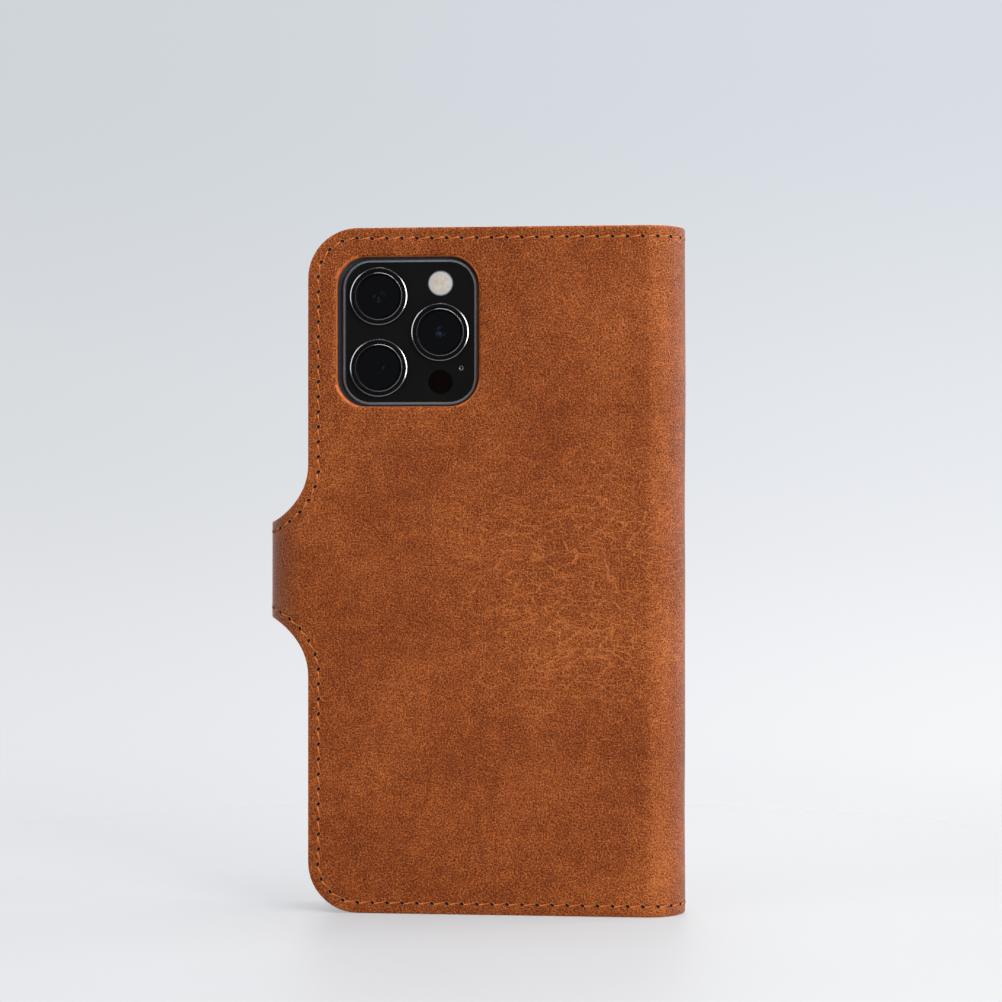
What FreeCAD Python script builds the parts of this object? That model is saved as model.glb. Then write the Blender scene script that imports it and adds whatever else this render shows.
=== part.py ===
"""Leather folio wallet case for a phone, closed by a magnetic strap. One STEP file per piece.

Millimetres. +Z is up: the case stands closed on its bottom edge. -Y is the outside of the back cover,
+Y is the outside of the front cover, the spine is at +X and the strap wraps round the -X side.
The strap is unfastened: its tip stands off the front cover, so that the cover is free to open.
The model is drawn round the strap's centre line, and each piece is moved as it is saved, so that the
origin is the bottom centre of the whole case's box.
"""

import FreeCAD
import Part
import math
import os

os.makedirs("parts", exist_ok=True)
V = FreeCAD.Vector

# Covers and spine
COVER_H = 155.0
COVER_LEFT = -37.65
CORNER_R = 11.4
LEATHER_T = 1.5
LINING_T = 0.8
SPINE_R = 9.0
COVER_MID = COVER_H / 2

# Strap: it leaves the back cover's left edge, wraps half a turn and lies on the front cover
STRAP_R = 10.25
STRAP_X = -37.25
STRAP_HALF = 11.2
STRAP_ROOT_R = 13.0
STRAP_END = COVER_LEFT + 27.0
STRAP_END_R = 9.0
STRAP_OUT = STRAP_X - STRAP_R
STRAP_LIFT = 70.0

# Outer faces and the spine's centre line, with the origin midway across the closed case
BACK_Y = -STRAP_R
FRONT_Y = BACK_Y + 2 * SPINE_R
SPINE_X = -STRAP_OUT - SPINE_R
SPINE_Y = BACK_Y + SPINE_R

# Folds: where the leather is parted between bodies, in degrees round each bend
FOLD_AT = 45.0
FOLD_GAP = 1.0
FOLD_ARM = math.pi / 4

# Saddle stitching, sunk in a groove
STITCH_IN = 2.5
GROOVE_W = 0.9
GROOVE_DEPTH = 0.5
THREAD_W = 0.6
THREAD_T = 0.34
THREAD_SUNK = 0.08

# Phone and its tray
PHONE_W = 71.5
PHONE_H = 146.7
PHONE_T = 7.4
PHONE_R = 10.0
PHONE_X = COVER_LEFT + 3.9 + PHONE_W / 2
PHONE_Z = COVER_MID
FRAME_CHAMFER = 0.3
GLASS_T = 0.7
BEZEL = 1.1
TRAY_GAP = 0.1
TRAY_WALL = 0.9
TRAY_BASE = 0.85
TRAY_LIP_T = 0.75
TRAY_LIP_OVER = 1.2
GLUE = 0.05
TRAY_BACK_Y = BACK_Y + LEATHER_T + LINING_T + GLUE
PHONE_BACK_Y = TRAY_BACK_Y + TRAY_BASE
PHONE_FRONT_Y = PHONE_BACK_Y + PHONE_T
PHONE_MID_Y = PHONE_BACK_Y + PHONE_T / 2
PHONE_FOOT = PHONE_Z - PHONE_H / 2

# Camera block
WINDOW_W = 32.4
WINDOW_H = 33.9
WINDOW_R = 6.8
WINDOW_X = -14.9
WINDOW_Z = 131.5
CAMERA_X = WINDOW_X + 0.4
CAMERA_Z = WINDOW_Z - 0.1
PLATEAU_W = 31.0
PLATEAU_H = 33.0
PLATEAU_R = 6.6
PLATEAU_T = 1.5
PLATEAU_FILLET = 1.1
LENS_R = 6.55
LENS_INNER_R = 5.4
LENS_RISE = 1.2
LENS_SUNK = 0.8
LENS_CHAMFER = 0.25
LENS_GAP = 0.03
LENS_GLASS_T = 1.2
LENS_GLASS_DROP = 0.3
LENSES = {"upper": (-7.0, 8.1), "lower": (-7.0, -8.1), "side": (7.0, -0.1)}
FLASH_AT = (7.0, 11.0)
FLASH_R = 2.85
SENSOR_AT = (7.0, -11.3)
SENSOR_R = 2.75
MICROPHONE_AT = (11.7, -8.2)
SMALL_LENS_T = 0.6
MICROPHONE_R = 0.6
MICROPHONE_HOLE_R = 0.28
MICROPHONE_HOLE_T = 0.4

# Buttons on the phone's long sides: side, height above the phone's foot, length
BUTTON_W = 2.6
BUTTON_PROUD = 0.4
BUTTON_SUNK = 0.6
BUTTON_TRAVEL = 0.3
BUTTON_CLEAR = 0.08
BUTTONS = {
    "side_button": (-1, 100.7, 17.0),
    "volume_up_button": (1, 106.7, 9.6),
    "volume_down_button": (1, 92.7, 9.6),
}
SWITCH_Z = 120.7
SWITCH_LEN = 5.6
SWITCH_W = 1.5
SWITCH_SUNK = 0.8
SWITCH_TRAVEL = 1.0
WINDOW_ROOM = 1.5
WALL_WINDOW_W = 4.2
PORT_W = 8.6
PORT_T = 2.8
PORT_DEPTH = 6.5
FOOT_WINDOW_W = 46.0
FOOT_WINDOW_T = 4.6

# Inside of the front cover
BOARD_IN = 4.5
BOARD_RIGHT = SPINE_X - 1.0
BOARD_T = 0.5
POCKET_T = 0.75
NOTE_T = 0.8
POCKET_RIGHT = SPINE_X - 3.0
POCKET_TOPS = {"upper": 118.0, "middle": 106.0, "lower": 94.0}
THUMB_DIP = 1.6
THUMB_R = 70.0

# Magnets that hold the strap
MAGNET_R = 4.5
MAGNET_T = 1.0
MAGNET_GAP = 0.05
MAGNET_Z = 5.3
MAGNET_X = COVER_LEFT + 17.0
STRAP_RECESS = 0.6
COVER_RECESS = 0.5

# Working values: past every face, clear above the outer face, and small enough to count as nothing
FAR = 60.0
ABOVE = 1.0
SMALL = 0.01
SAME_POINT = 1e-6

SPINE_AXIS = V(SPINE_X, SPINE_Y, 0)
STRAP_AXIS = V(STRAP_X, BACK_Y + STRAP_R, 0)
TIP_FOLD = STRAP_AXIS + V(-1, 1, 0) * (FOLD_ARM * STRAP_R)
TIP_REACH = V(STRAP_END - TIP_FOLD.x, STRAP_AXIS.y + STRAP_R - TIP_FOLD.y, 0)


def lifted_y(reach):
    """How far out a point of the strap's tip stands once the tip is lifted off the front cover."""
    a = math.radians(STRAP_LIFT)
    return TIP_FOLD.y + reach.x * math.sin(a) + reach.y * math.cos(a)


ORIGIN = V(0, (BACK_Y + lifted_y(TIP_REACH)) / 2, 0)


def save(name, *shapes):
    """Writes one node's solids to its STEP file."""
    solids = []
    for shape in shapes:
        solids.extend(shape.translated(-ORIGIN).Solids)
    for solid in solids:
        assert solid.isValid() and solid.Volume > SMALL, name
    body = solids[0] if len(solids) == 1 else Part.makeCompound(solids)
    body.exportStep(os.path.join("parts", name + ".step"))
    print(f"{name}: {len(solids)} solid(s), {sum(s.Volume for s in solids):.1f} mm3")


def polar(centre, radius, degrees):
    """A point on a circle round a vertical line."""
    a = math.radians(degrees)
    return V(centre.x + radius * math.cos(a), centre.y + radius * math.sin(a), 0)


def arc(centre, radius, start, end):
    """An edge in the XY plane, from one angle to another, in degrees."""
    middle = polar(centre, radius, (start + end) / 2)
    return Part.Arc(polar(centre, radius, start), middle, polar(centre, radius, end)).toShape()


def upright(edges):
    """Extrudes a closed XY outline over the case's whole height."""
    face = Part.Face(Part.Wire(Part.__sortEdges__(edges)))
    return face.extrude(V(0, 0, COVER_H))


def sector(centre, outer, inner, start, end):
    """A bent strip of leather: part of a tube round a vertical line."""
    return upright([
        arc(centre, outer, start, end),
        Part.makeLine(polar(centre, outer, end), polar(centre, inner, end)),
        arc(centre, inner, end, start),
        Part.makeLine(polar(centre, inner, start), polar(centre, outer, start)),
    ])


def back_strip(near, far):
    """The back cover between two depths below its outside, with the start of both bends."""
    spine_end = -90 + FOLD_AT - FOLD_GAP
    strap_end = -90 - FOLD_AT + FOLD_GAP
    ro, ri = SPINE_R - near, SPINE_R - far
    so, si = STRAP_R - near, STRAP_R - far
    return upright([
        arc(STRAP_AXIS, so, strap_end, -90),
        Part.makeLine(V(STRAP_X, BACK_Y + near, 0), V(SPINE_X, BACK_Y + near, 0)),
        arc(SPINE_AXIS, ro, -90, spine_end),
        Part.makeLine(polar(SPINE_AXIS, ro, spine_end), polar(SPINE_AXIS, ri, spine_end)),
        arc(SPINE_AXIS, ri, spine_end, -90),
        Part.makeLine(V(SPINE_X, BACK_Y + far, 0), V(STRAP_X, BACK_Y + far, 0)),
        arc(STRAP_AXIS, si, -90, strap_end),
        Part.makeLine(polar(STRAP_AXIS, si, strap_end), polar(STRAP_AXIS, so, strap_end)),
    ])


def spine_strip(near, far):
    """The middle of the spine between two depths below its outside."""
    start, end = -90 + FOLD_AT + FOLD_GAP, 90 - FOLD_AT - FOLD_GAP
    return sector(SPINE_AXIS, SPINE_R - near, SPINE_R - far, start, end)


def front_strip(near, far):
    """The front cover between two depths below its outside, with the end of the spine's bend."""
    start = 90 - FOLD_AT + FOLD_GAP
    ro, ri = SPINE_R - near, SPINE_R - far
    return upright([
        arc(SPINE_AXIS, ro, start, 90),
        Part.makeLine(V(SPINE_X, FRONT_Y - near, 0), V(-FAR, FRONT_Y - near, 0)),
        Part.makeLine(V(-FAR, FRONT_Y - near, 0), V(-FAR, FRONT_Y - far, 0)),
        Part.makeLine(V(-FAR, FRONT_Y - far, 0), V(SPINE_X, FRONT_Y - far, 0)),
        arc(SPINE_AXIS, ri, 90, start),
        Part.makeLine(polar(SPINE_AXIS, ri, start), polar(SPINE_AXIS, ro, start)),
    ])


def strap_side_strips(near, far):
    """The strap round the case's side: the half next to the back cover, and the half next to the front."""
    start, end = -90 - FOLD_AT - FOLD_GAP, -270 + FOLD_AT + FOLD_GAP
    outer, inner = STRAP_R - near, STRAP_R - far
    return sector(STRAP_AXIS, outer, inner, start, -180), sector(STRAP_AXIS, outer, inner, -180, end)


def strap_tip_strip(near, far):
    """The strap where it comes round the front edge and lies on the front cover."""
    start = 90 + FOLD_AT - FOLD_GAP
    ro, ri = STRAP_R - near, STRAP_R - far
    return upright([
        arc(STRAP_AXIS, ro, start, 90),
        Part.makeLine(V(STRAP_X, ro, 0), V(FAR, ro, 0)),
        Part.makeLine(V(FAR, ro, 0), V(FAR, ri, 0)),
        Part.makeLine(V(FAR, ri, 0), V(STRAP_X, ri, 0)),
        arc(STRAP_AXIS, ri, 90, start),
        Part.makeLine(polar(STRAP_AXIS, ri, start), polar(STRAP_AXIS, ro, start)),
    ])


def flat_arc(x, z, radius, start, end):
    """An edge in the XZ plane, from one angle to another, in degrees from +X towards +Z."""
    def at(degrees):
        a = math.radians(degrees)
        return V(x + radius * math.cos(a), 0, z + radius * math.sin(a))
    return Part.Arc(at(start), at((start + end) / 2), at(end)).toShape()


def outline(corners):
    """The edges of a closed XZ outline. A corner is (x, z), or ("arc", x, z, radius, start, end)."""
    runs = []
    for corner in corners:
        if corner[0] == "arc":
            curve = flat_arc(*corner[1:])
            runs.append((curve, curve.valueAt(curve.FirstParameter), curve.valueAt(curve.LastParameter)))
        else:
            point = V(corner[0], 0, corner[1])
            runs.append((None, point, point))
    edges = []
    for (curve, _, end), (_, following, _) in zip(runs, runs[1:] + runs[:1]):
        if curve is not None:
            edges.append(curve)
        if end.distanceToPoint(following) > SAME_POINT:
            edges.append(Part.makeLine(end, following))
    return edges


def prism(corners, low=-FAR, high=FAR):
    """Extrudes an XZ outline along Y, from low to high."""
    face = Part.Face(Part.Wire(outline(corners)))
    face.translate(V(0, low, 0))
    return face.extrude(V(0, high - low, 0))


def strap_root(inset, side):
    """The hollow curve where a cover's edge runs into the strap. side is 1 above and -1 below."""
    radius = STRAP_ROOT_R + inset
    x = COVER_LEFT - STRAP_ROOT_R
    rise = math.sqrt(STRAP_ROOT_R**2 - (STRAP_OUT - x) ** 2)
    z = COVER_MID + side * (STRAP_HALF + rise)
    end = math.degrees(math.asin((rise + inset) / radius))
    return ("arc", x, z, radius, -end, 0) if side > 0 else ("arc", x, z, radius, 0, end)


def back_region(inset=0.0, low=-FAR, high=FAR):
    """Everything within the back cover's outline, strap and all, as seen from behind."""
    r = CORNER_R - inset
    half = STRAP_HALF - inset
    return prism([
        (FAR, inset),
        ("arc", COVER_LEFT + CORNER_R, CORNER_R, r, 270, 180),
        strap_root(inset, -1),
        (-FAR, COVER_MID - half),
        (-FAR, COVER_MID + half),
        strap_root(inset, 1),
        ("arc", COVER_LEFT + CORNER_R, COVER_H - CORNER_R, r, 180, 90),
        (FAR, COVER_H - inset),
    ], low, high)


def front_region(inset=0.0, low=-FAR, high=FAR, right=FAR):
    """Everything within the front cover's outline, as far as right."""
    r = CORNER_R - inset
    return prism([
        (right, inset),
        ("arc", COVER_LEFT + CORNER_R, CORNER_R, r, 270, 180),
        ("arc", COVER_LEFT + CORNER_R, COVER_H - CORNER_R, r, 180, 90),
        (right, COVER_H - inset),
    ], low, high)


def card_pocket(top, low, high):
    """A card pocket's panel: the front cover's outline, cut off at a mouth with a shallow thumb dip."""
    middle = (COVER_LEFT + POCKET_RIGHT) / 2
    spread = math.degrees(math.acos((THUMB_R - THUMB_DIP) / THUMB_R))
    return prism([
        (POCKET_RIGHT, 0),
        ("arc", COVER_LEFT + CORNER_R, CORNER_R, CORNER_R, 270, 180),
        (COVER_LEFT, top),
        ("arc", middle, top + THUMB_R - THUMB_DIP, THUMB_R, 270 - spread, 270 + spread),
        (POCKET_RIGHT, top),
    ], low, high)


def tip_region(inset=0.0, low=-FAR, high=FAR):
    """The strap's outline on the front cover, with its rounded end."""
    half = STRAP_HALF - inset
    r = STRAP_END_R - inset
    x = STRAP_END - STRAP_END_R
    shift = STRAP_HALF - STRAP_END_R
    return prism([
        (-FAR, COVER_MID + half),
        ("arc", x, COVER_MID + shift, r, 90, 0),
        ("arc", x, COVER_MID - shift, r, 0, -90),
        (-FAR, COVER_MID - half),
    ], low, high)


def rounded(x, z, width, height, radius, low, high):
    """A rounded rectangle in the XZ plane, extruded along Y from low to high."""
    w, h = width / 2 - radius, height / 2 - radius
    return prism([
        ("arc", x + w, z + h, radius, 90, 0),
        ("arc", x + w, z - h, radius, 0, -90),
        ("arc", x - w, z - h, radius, 270, 180),
        ("arc", x - w, z + h, radius, 180, 90),
    ], low, high)


def disc(x, z, radius, low, high):
    """A round pin along Y, from low to high."""
    return Part.makeCylinder(radius, high - low, V(x, low, z), V(0, 1, 0))


def band(region, middle, width):
    """The strip of a region's edge that lies a set distance in from its outline."""
    return region(middle - width / 2).cut(region(middle + width / 2))


def grooved(strip, region):
    """A leather piece of full thickness, cut to its outline, with its stitching groove."""
    leather = strip(0, LEATHER_T).common(region())
    return leather.cut(strip(-ABOVE, GROOVE_DEPTH).common(band(region, STITCH_IN, GROOVE_W)))


def thread(strip, region):
    """The sewing thread that lies in the groove."""
    return strip(THREAD_SUNK, THREAD_SUNK + THREAD_T).common(band(region, STITCH_IN, THREAD_W))


def magnets(low, high, grow=0.0):
    """Two discs one above the other, under the strap's tip."""
    return [disc(MAGNET_X, COVER_MID + side * MAGNET_Z, MAGNET_R + grow, low, high) for side in (-1, 1)]


def cut_all(shape, tools):
    """A shape less each of several others."""
    for tool in tools:
        shape = shape.cut(tool)
    return shape


# Back cover -------------------------------------------------------------------------------------
window = rounded(WINDOW_X, WINDOW_Z, WINDOW_W, WINDOW_H, WINDOW_R, -FAR, 0)
save("back_leather", grooved(back_strip, back_region).cut(window))
save("back_lining", back_strip(LEATHER_T, LEATHER_T + LINING_T).common(back_region()).cut(window))
save("back_thread", thread(back_strip, back_region))

# Spine ------------------------------------------------------------------------------------------
save("spine_leather", grooved(spine_strip, back_region))
save("spine_lining", spine_strip(LEATHER_T, LEATHER_T + LINING_T).common(back_region()))
save("spine_thread", thread(spine_strip, back_region))

# Front cover ------------------------------------------------------------------------------------
inner_y = FRONT_Y - LEATHER_T
board_low, board_high = inner_y, inner_y + BOARD_T
board_space = front_region(BOARD_IN, board_low, board_high, BOARD_RIGHT)
magnet_top = board_high + COVER_RECESS
cover_magnet_space = magnets(board_low - MAGNET_GAP, magnet_top + MAGNET_GAP, MAGNET_GAP)
save("front_leather", cut_all(grooved(front_strip, front_region).cut(board_space), cover_magnet_space))
save("front_board", cut_all(board_space, cover_magnet_space))
save("cover_magnets", *magnets(board_low + MAGNET_GAP, magnet_top))
save("front_lining", front_strip(LEATHER_T, LEATHER_T + LINING_T).common(front_region()))
save("front_thread", thread(front_strip, front_region))

lining_y = inner_y - LINING_T
save("note_pocket_panel", front_region(0, lining_y - NOTE_T, lining_y, POCKET_RIGHT))
pocket_y = lining_y - NOTE_T
for name, top in POCKET_TOPS.items():
    save(f"card_pocket_{name}", card_pocket(top, pocket_y - POCKET_T, pocket_y))
    pocket_y -= POCKET_T

# Strap ------------------------------------------------------------------------------------------
strap_magnet_low = STRAP_R - LEATHER_T - (MAGNET_T - STRAP_RECESS)
strap_magnet_high = strap_magnet_low + MAGNET_T
strap_magnet_space = magnets(strap_magnet_low - MAGNET_GAP, strap_magnet_high + MAGNET_GAP, MAGNET_GAP)


def strap_side(near, far, width=None):
    """The strap's side between two depths, or only the band of that width where its stitching runs.

    Its first half follows the back cover's outline, and its second half the tip's.
    """
    halves = []
    for strip, region in zip(strap_side_strips(near, far), (back_region, tip_region)):
        halves.append(strip.common(band(region, STITCH_IN, width) if width else region()))
    return halves[0].fuse(halves[1]).removeSplitter()


def lift(shape):
    """Turns a piece of the strap's tip from where it is fastened to where it stands unfastened."""
    return shape.rotated(TIP_FOLD, V(0, 0, 1), STRAP_LIFT)


save("strap_side_leather", strap_side(0, LEATHER_T).cut(strap_side(-ABOVE, GROOVE_DEPTH, GROOVE_W)))
save("strap_side_lining", strap_side(LEATHER_T, LEATHER_T + LINING_T))
save("strap_side_thread", strap_side(THREAD_SUNK, THREAD_SUNK + THREAD_T, THREAD_W))
tip_leather = cut_all(grooved(strap_tip_strip, tip_region), strap_magnet_space)
tip_lining = strap_tip_strip(LEATHER_T, LEATHER_T + LINING_T).common(tip_region())
tip_magnets = magnets(strap_magnet_low, strap_magnet_high)
save("strap_tip_leather", lift(tip_leather))
save("strap_tip_lining", lift(cut_all(tip_lining, strap_magnet_space)))
save("strap_tip_thread", lift(thread(strap_tip_strip, tip_region)))
save("strap_magnets", *[lift(magnet) for magnet in tip_magnets])

# Tray that grips the phone ----------------------------------------------------------------------
tray_front_y = PHONE_FRONT_Y + GLUE + TRAY_LIP_T
grow = 2 * (TRAY_GAP + TRAY_WALL)
tray = rounded(PHONE_X, PHONE_Z, PHONE_W + grow, PHONE_H + grow, PHONE_R + grow / 2,
               TRAY_BACK_Y, tray_front_y)
tray = tray.cut(rounded(PHONE_X, PHONE_Z, PHONE_W + 2 * TRAY_GAP, PHONE_H + 2 * TRAY_GAP,
                        PHONE_R + TRAY_GAP, PHONE_BACK_Y, PHONE_FRONT_Y + GLUE))
tray = tray.cut(rounded(PHONE_X, PHONE_Z, PHONE_W - 2 * TRAY_LIP_OVER, PHONE_H - 2 * TRAY_LIP_OVER,
                        PHONE_R - TRAY_LIP_OVER, PHONE_FRONT_Y, FAR))
tray = tray.cut(rounded(WINDOW_X, WINDOW_Z, WINDOW_W, WINDOW_H, WINDOW_R, -FAR, PHONE_BACK_Y))


def side_box(side, z, length, width, low, high):
    """A block across one long wall, from low to high out from the phone's side."""
    edge = PHONE_X + side * PHONE_W / 2
    x = edge + low if side > 0 else edge - high
    return Part.makeBox(high - low, width, length, V(x, PHONE_MID_Y - width / 2, z - length / 2))


windows = []
for side, z, length in list(BUTTONS.values()) + [(1, SWITCH_Z, SWITCH_LEN)]:
    windows.append(side_box(side, PHONE_FOOT + z, length + 2 * WINDOW_ROOM, WALL_WINDOW_W,
                            -TRAY_GAP, FAR))
windows.append(Part.makeBox(FOOT_WINDOW_W, FOOT_WINDOW_T, PHONE_FOOT,
                            V(PHONE_X - FOOT_WINDOW_W / 2, PHONE_MID_Y - FOOT_WINDOW_T / 2, 0)))
save("phone_tray", cut_all(tray, windows))

# Phone ------------------------------------------------------------------------------------------
frame = rounded(PHONE_X, PHONE_Z, PHONE_W, PHONE_H, PHONE_R, PHONE_BACK_Y, PHONE_FRONT_Y)
rims = [e for e in frame.Edges if e.BoundBox.YLength < SMALL]
frame = frame.makeChamfer(FRAME_CHAMFER, rims)
glass_shape = (PHONE_X, PHONE_Z, PHONE_W - 2 * BEZEL, PHONE_H - 2 * BEZEL, PHONE_R - BEZEL)
screen = rounded(*glass_shape, PHONE_FRONT_Y - GLASS_T, PHONE_FRONT_Y)
back_glass = rounded(*glass_shape, PHONE_BACK_Y, PHONE_BACK_Y + GLASS_T)
frame = frame.cut(screen).cut(back_glass)
pockets = []
for side, z, length in BUTTONS.values():
    pockets.append(side_box(side, PHONE_FOOT + z, length + 2 * BUTTON_CLEAR, BUTTON_W + 2 * BUTTON_CLEAR,
                            -BUTTON_SUNK - BUTTON_TRAVEL - BUTTON_CLEAR, BUTTON_PROUD))
pockets.append(side_box(1, PHONE_FOOT + SWITCH_Z, SWITCH_LEN + 2 * BUTTON_CLEAR,
                        SWITCH_W + SWITCH_TRAVEL + 2 * BUTTON_CLEAR,
                        -SWITCH_SUNK - BUTTON_CLEAR, BUTTON_PROUD))
port = rounded(PHONE_X, 0, PORT_W, PORT_T, PORT_T / 2 - SMALL, 0, PORT_DEPTH)
port.rotate(V(PHONE_X, 0, 0), V(1, 0, 0), 90)
port.translate(V(0, PHONE_MID_Y, PHONE_FOOT))
save("phone_frame", cut_all(frame, pockets + [port]))
save("phone_screen", screen)
save("phone_back_glass", back_glass)

for name, (side, z, length) in BUTTONS.items():
    save(name, side_box(side, PHONE_FOOT + z, length, BUTTON_W, -BUTTON_SUNK, BUTTON_PROUD))
switch = side_box(1, PHONE_FOOT + SWITCH_Z, SWITCH_LEN, SWITCH_W, -SWITCH_SUNK, BUTTON_PROUD)
switch.translate(V(0, -SWITCH_TRAVEL / 2, 0))
save("ring_switch", switch)

# Camera block -----------------------------------------------------------------------------------
plateau_top = PHONE_BACK_Y - PLATEAU_T
plateau = rounded(CAMERA_X, CAMERA_Z, PLATEAU_W, PLATEAU_H, PLATEAU_R, plateau_top, PHONE_BACK_Y)
crown = [e for e in plateau.Edges if e.BoundBox.YMax < plateau_top + SMALL]
plateau = plateau.makeFillet(PLATEAU_FILLET, crown)
holes = [disc(CAMERA_X + x, CAMERA_Z + z, LENS_R + LENS_GAP, -FAR, plateau_top + LENS_SUNK)
         for x, z in LENSES.values()]
for (x, z), r in ((FLASH_AT, FLASH_R), (SENSOR_AT, SENSOR_R), (MICROPHONE_AT, MICROPHONE_R)):
    holes.append(disc(CAMERA_X + x, CAMERA_Z + z, r + LENS_GAP, -FAR, plateau_top + SMALL_LENS_T))
save("camera_plateau", cut_all(plateau, holes))

ring_top = plateau_top - LENS_RISE
for name, (x, z) in LENSES.items():
    x, z = CAMERA_X + x, CAMERA_Z + z
    ring = disc(x, z, LENS_R, ring_top, plateau_top + LENS_SUNK)
    rim = [e for e in ring.Edges if e.BoundBox.YMax < ring_top + SMALL]
    ring = ring.makeChamfer(LENS_CHAMFER, rim)
    ring = ring.cut(disc(x, z, LENS_INNER_R, -FAR, ring_top + LENS_GLASS_DROP + LENS_GLASS_T))
    save(f"{name}_lens_ring", ring)
    save(f"{name}_lens_glass", disc(x, z, LENS_INNER_R - LENS_GAP, ring_top + LENS_GLASS_DROP,
                                    ring_top + LENS_GLASS_DROP + LENS_GLASS_T))


def camera_disc(at, radius, depth=SMALL_LENS_T):
    """A small disc let into the camera block, flush with its face."""
    return disc(CAMERA_X + at[0], CAMERA_Z + at[1], radius, plateau_top, plateau_top + depth)


save("flash_lens", camera_disc(FLASH_AT, FLASH_R))
save("depth_sensor_window", camera_disc(SENSOR_AT, SENSOR_R))
hole = camera_disc(MICROPHONE_AT, MICROPHONE_HOLE_R, MICROPHONE_HOLE_T)
save("rear_microphone", camera_disc(MICROPHONE_AT, MICROPHONE_R).cut(hole))
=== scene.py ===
import math

import bmesh
import bpy
from mathutils import Matrix, Vector, kdtree, noise


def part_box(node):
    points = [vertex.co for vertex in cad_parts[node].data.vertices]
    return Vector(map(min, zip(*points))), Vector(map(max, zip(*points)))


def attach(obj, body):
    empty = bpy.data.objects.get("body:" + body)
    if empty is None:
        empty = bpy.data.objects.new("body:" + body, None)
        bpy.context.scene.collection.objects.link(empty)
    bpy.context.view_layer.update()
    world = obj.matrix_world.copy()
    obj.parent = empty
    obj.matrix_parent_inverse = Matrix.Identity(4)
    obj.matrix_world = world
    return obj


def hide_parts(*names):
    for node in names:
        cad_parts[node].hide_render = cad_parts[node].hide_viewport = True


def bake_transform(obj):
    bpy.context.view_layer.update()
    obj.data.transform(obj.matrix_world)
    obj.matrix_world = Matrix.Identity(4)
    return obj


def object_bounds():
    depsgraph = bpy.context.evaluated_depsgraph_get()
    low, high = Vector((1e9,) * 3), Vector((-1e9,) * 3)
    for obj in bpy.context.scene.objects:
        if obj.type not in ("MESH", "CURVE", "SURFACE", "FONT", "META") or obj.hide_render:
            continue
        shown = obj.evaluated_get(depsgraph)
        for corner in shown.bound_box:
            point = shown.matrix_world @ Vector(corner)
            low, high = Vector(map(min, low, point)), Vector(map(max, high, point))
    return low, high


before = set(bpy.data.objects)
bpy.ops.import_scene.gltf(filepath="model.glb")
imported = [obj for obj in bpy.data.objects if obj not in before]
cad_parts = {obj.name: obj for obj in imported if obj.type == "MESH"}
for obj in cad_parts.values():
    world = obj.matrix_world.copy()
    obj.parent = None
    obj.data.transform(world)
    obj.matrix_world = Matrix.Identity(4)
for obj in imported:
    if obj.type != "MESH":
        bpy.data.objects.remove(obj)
cad_low, cad_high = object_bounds()
bpy.ops.object.select_all(action="DESELECT")

# Camera ---------------------------------------------------------------
# It stands level with the upper part of the case, a little round towards the spine. It is held
# level, which keeps the case's sides upright in the picture.
MM = 0.001
BACK_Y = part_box("back_leather")[0].y
AIM = Vector((6.4 * MM, BACK_Y, 93.2 * MM))
CAMERA_OFF = 600 * MM
CAMERA_ROUND = math.radians(5.9)
eye = AIM + CAMERA_OFF * Vector((math.sin(CAMERA_ROUND), -math.cos(CAMERA_ROUND), 0))
bpy.ops.object.camera_add(location=eye, rotation=(math.pi / 2, 0, CAMERA_ROUND))
camera = bpy.context.object
camera.data.lens = 95.9
camera.data.sensor_width = 36.0
bpy.context.scene.camera = camera
bpy.context.scene.view_settings.view_transform = "Standard"

# Studio ---------------------------------------------------------------
# A pale matt table top that fades into a cool grey sweep, lit by six soft boxes: the main one at
# the right, a weak one at the left, one overhead, a narrow one past the spine, one behind the
# case, and a small one up at the spine's side.
FLOOR_R = 900 * MM
FLOOR_FADE = (60 * MM, 400 * MM)
FLOOR_CLEAR = 0.40
FLOOR_DROP = 0.02 * MM


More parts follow.
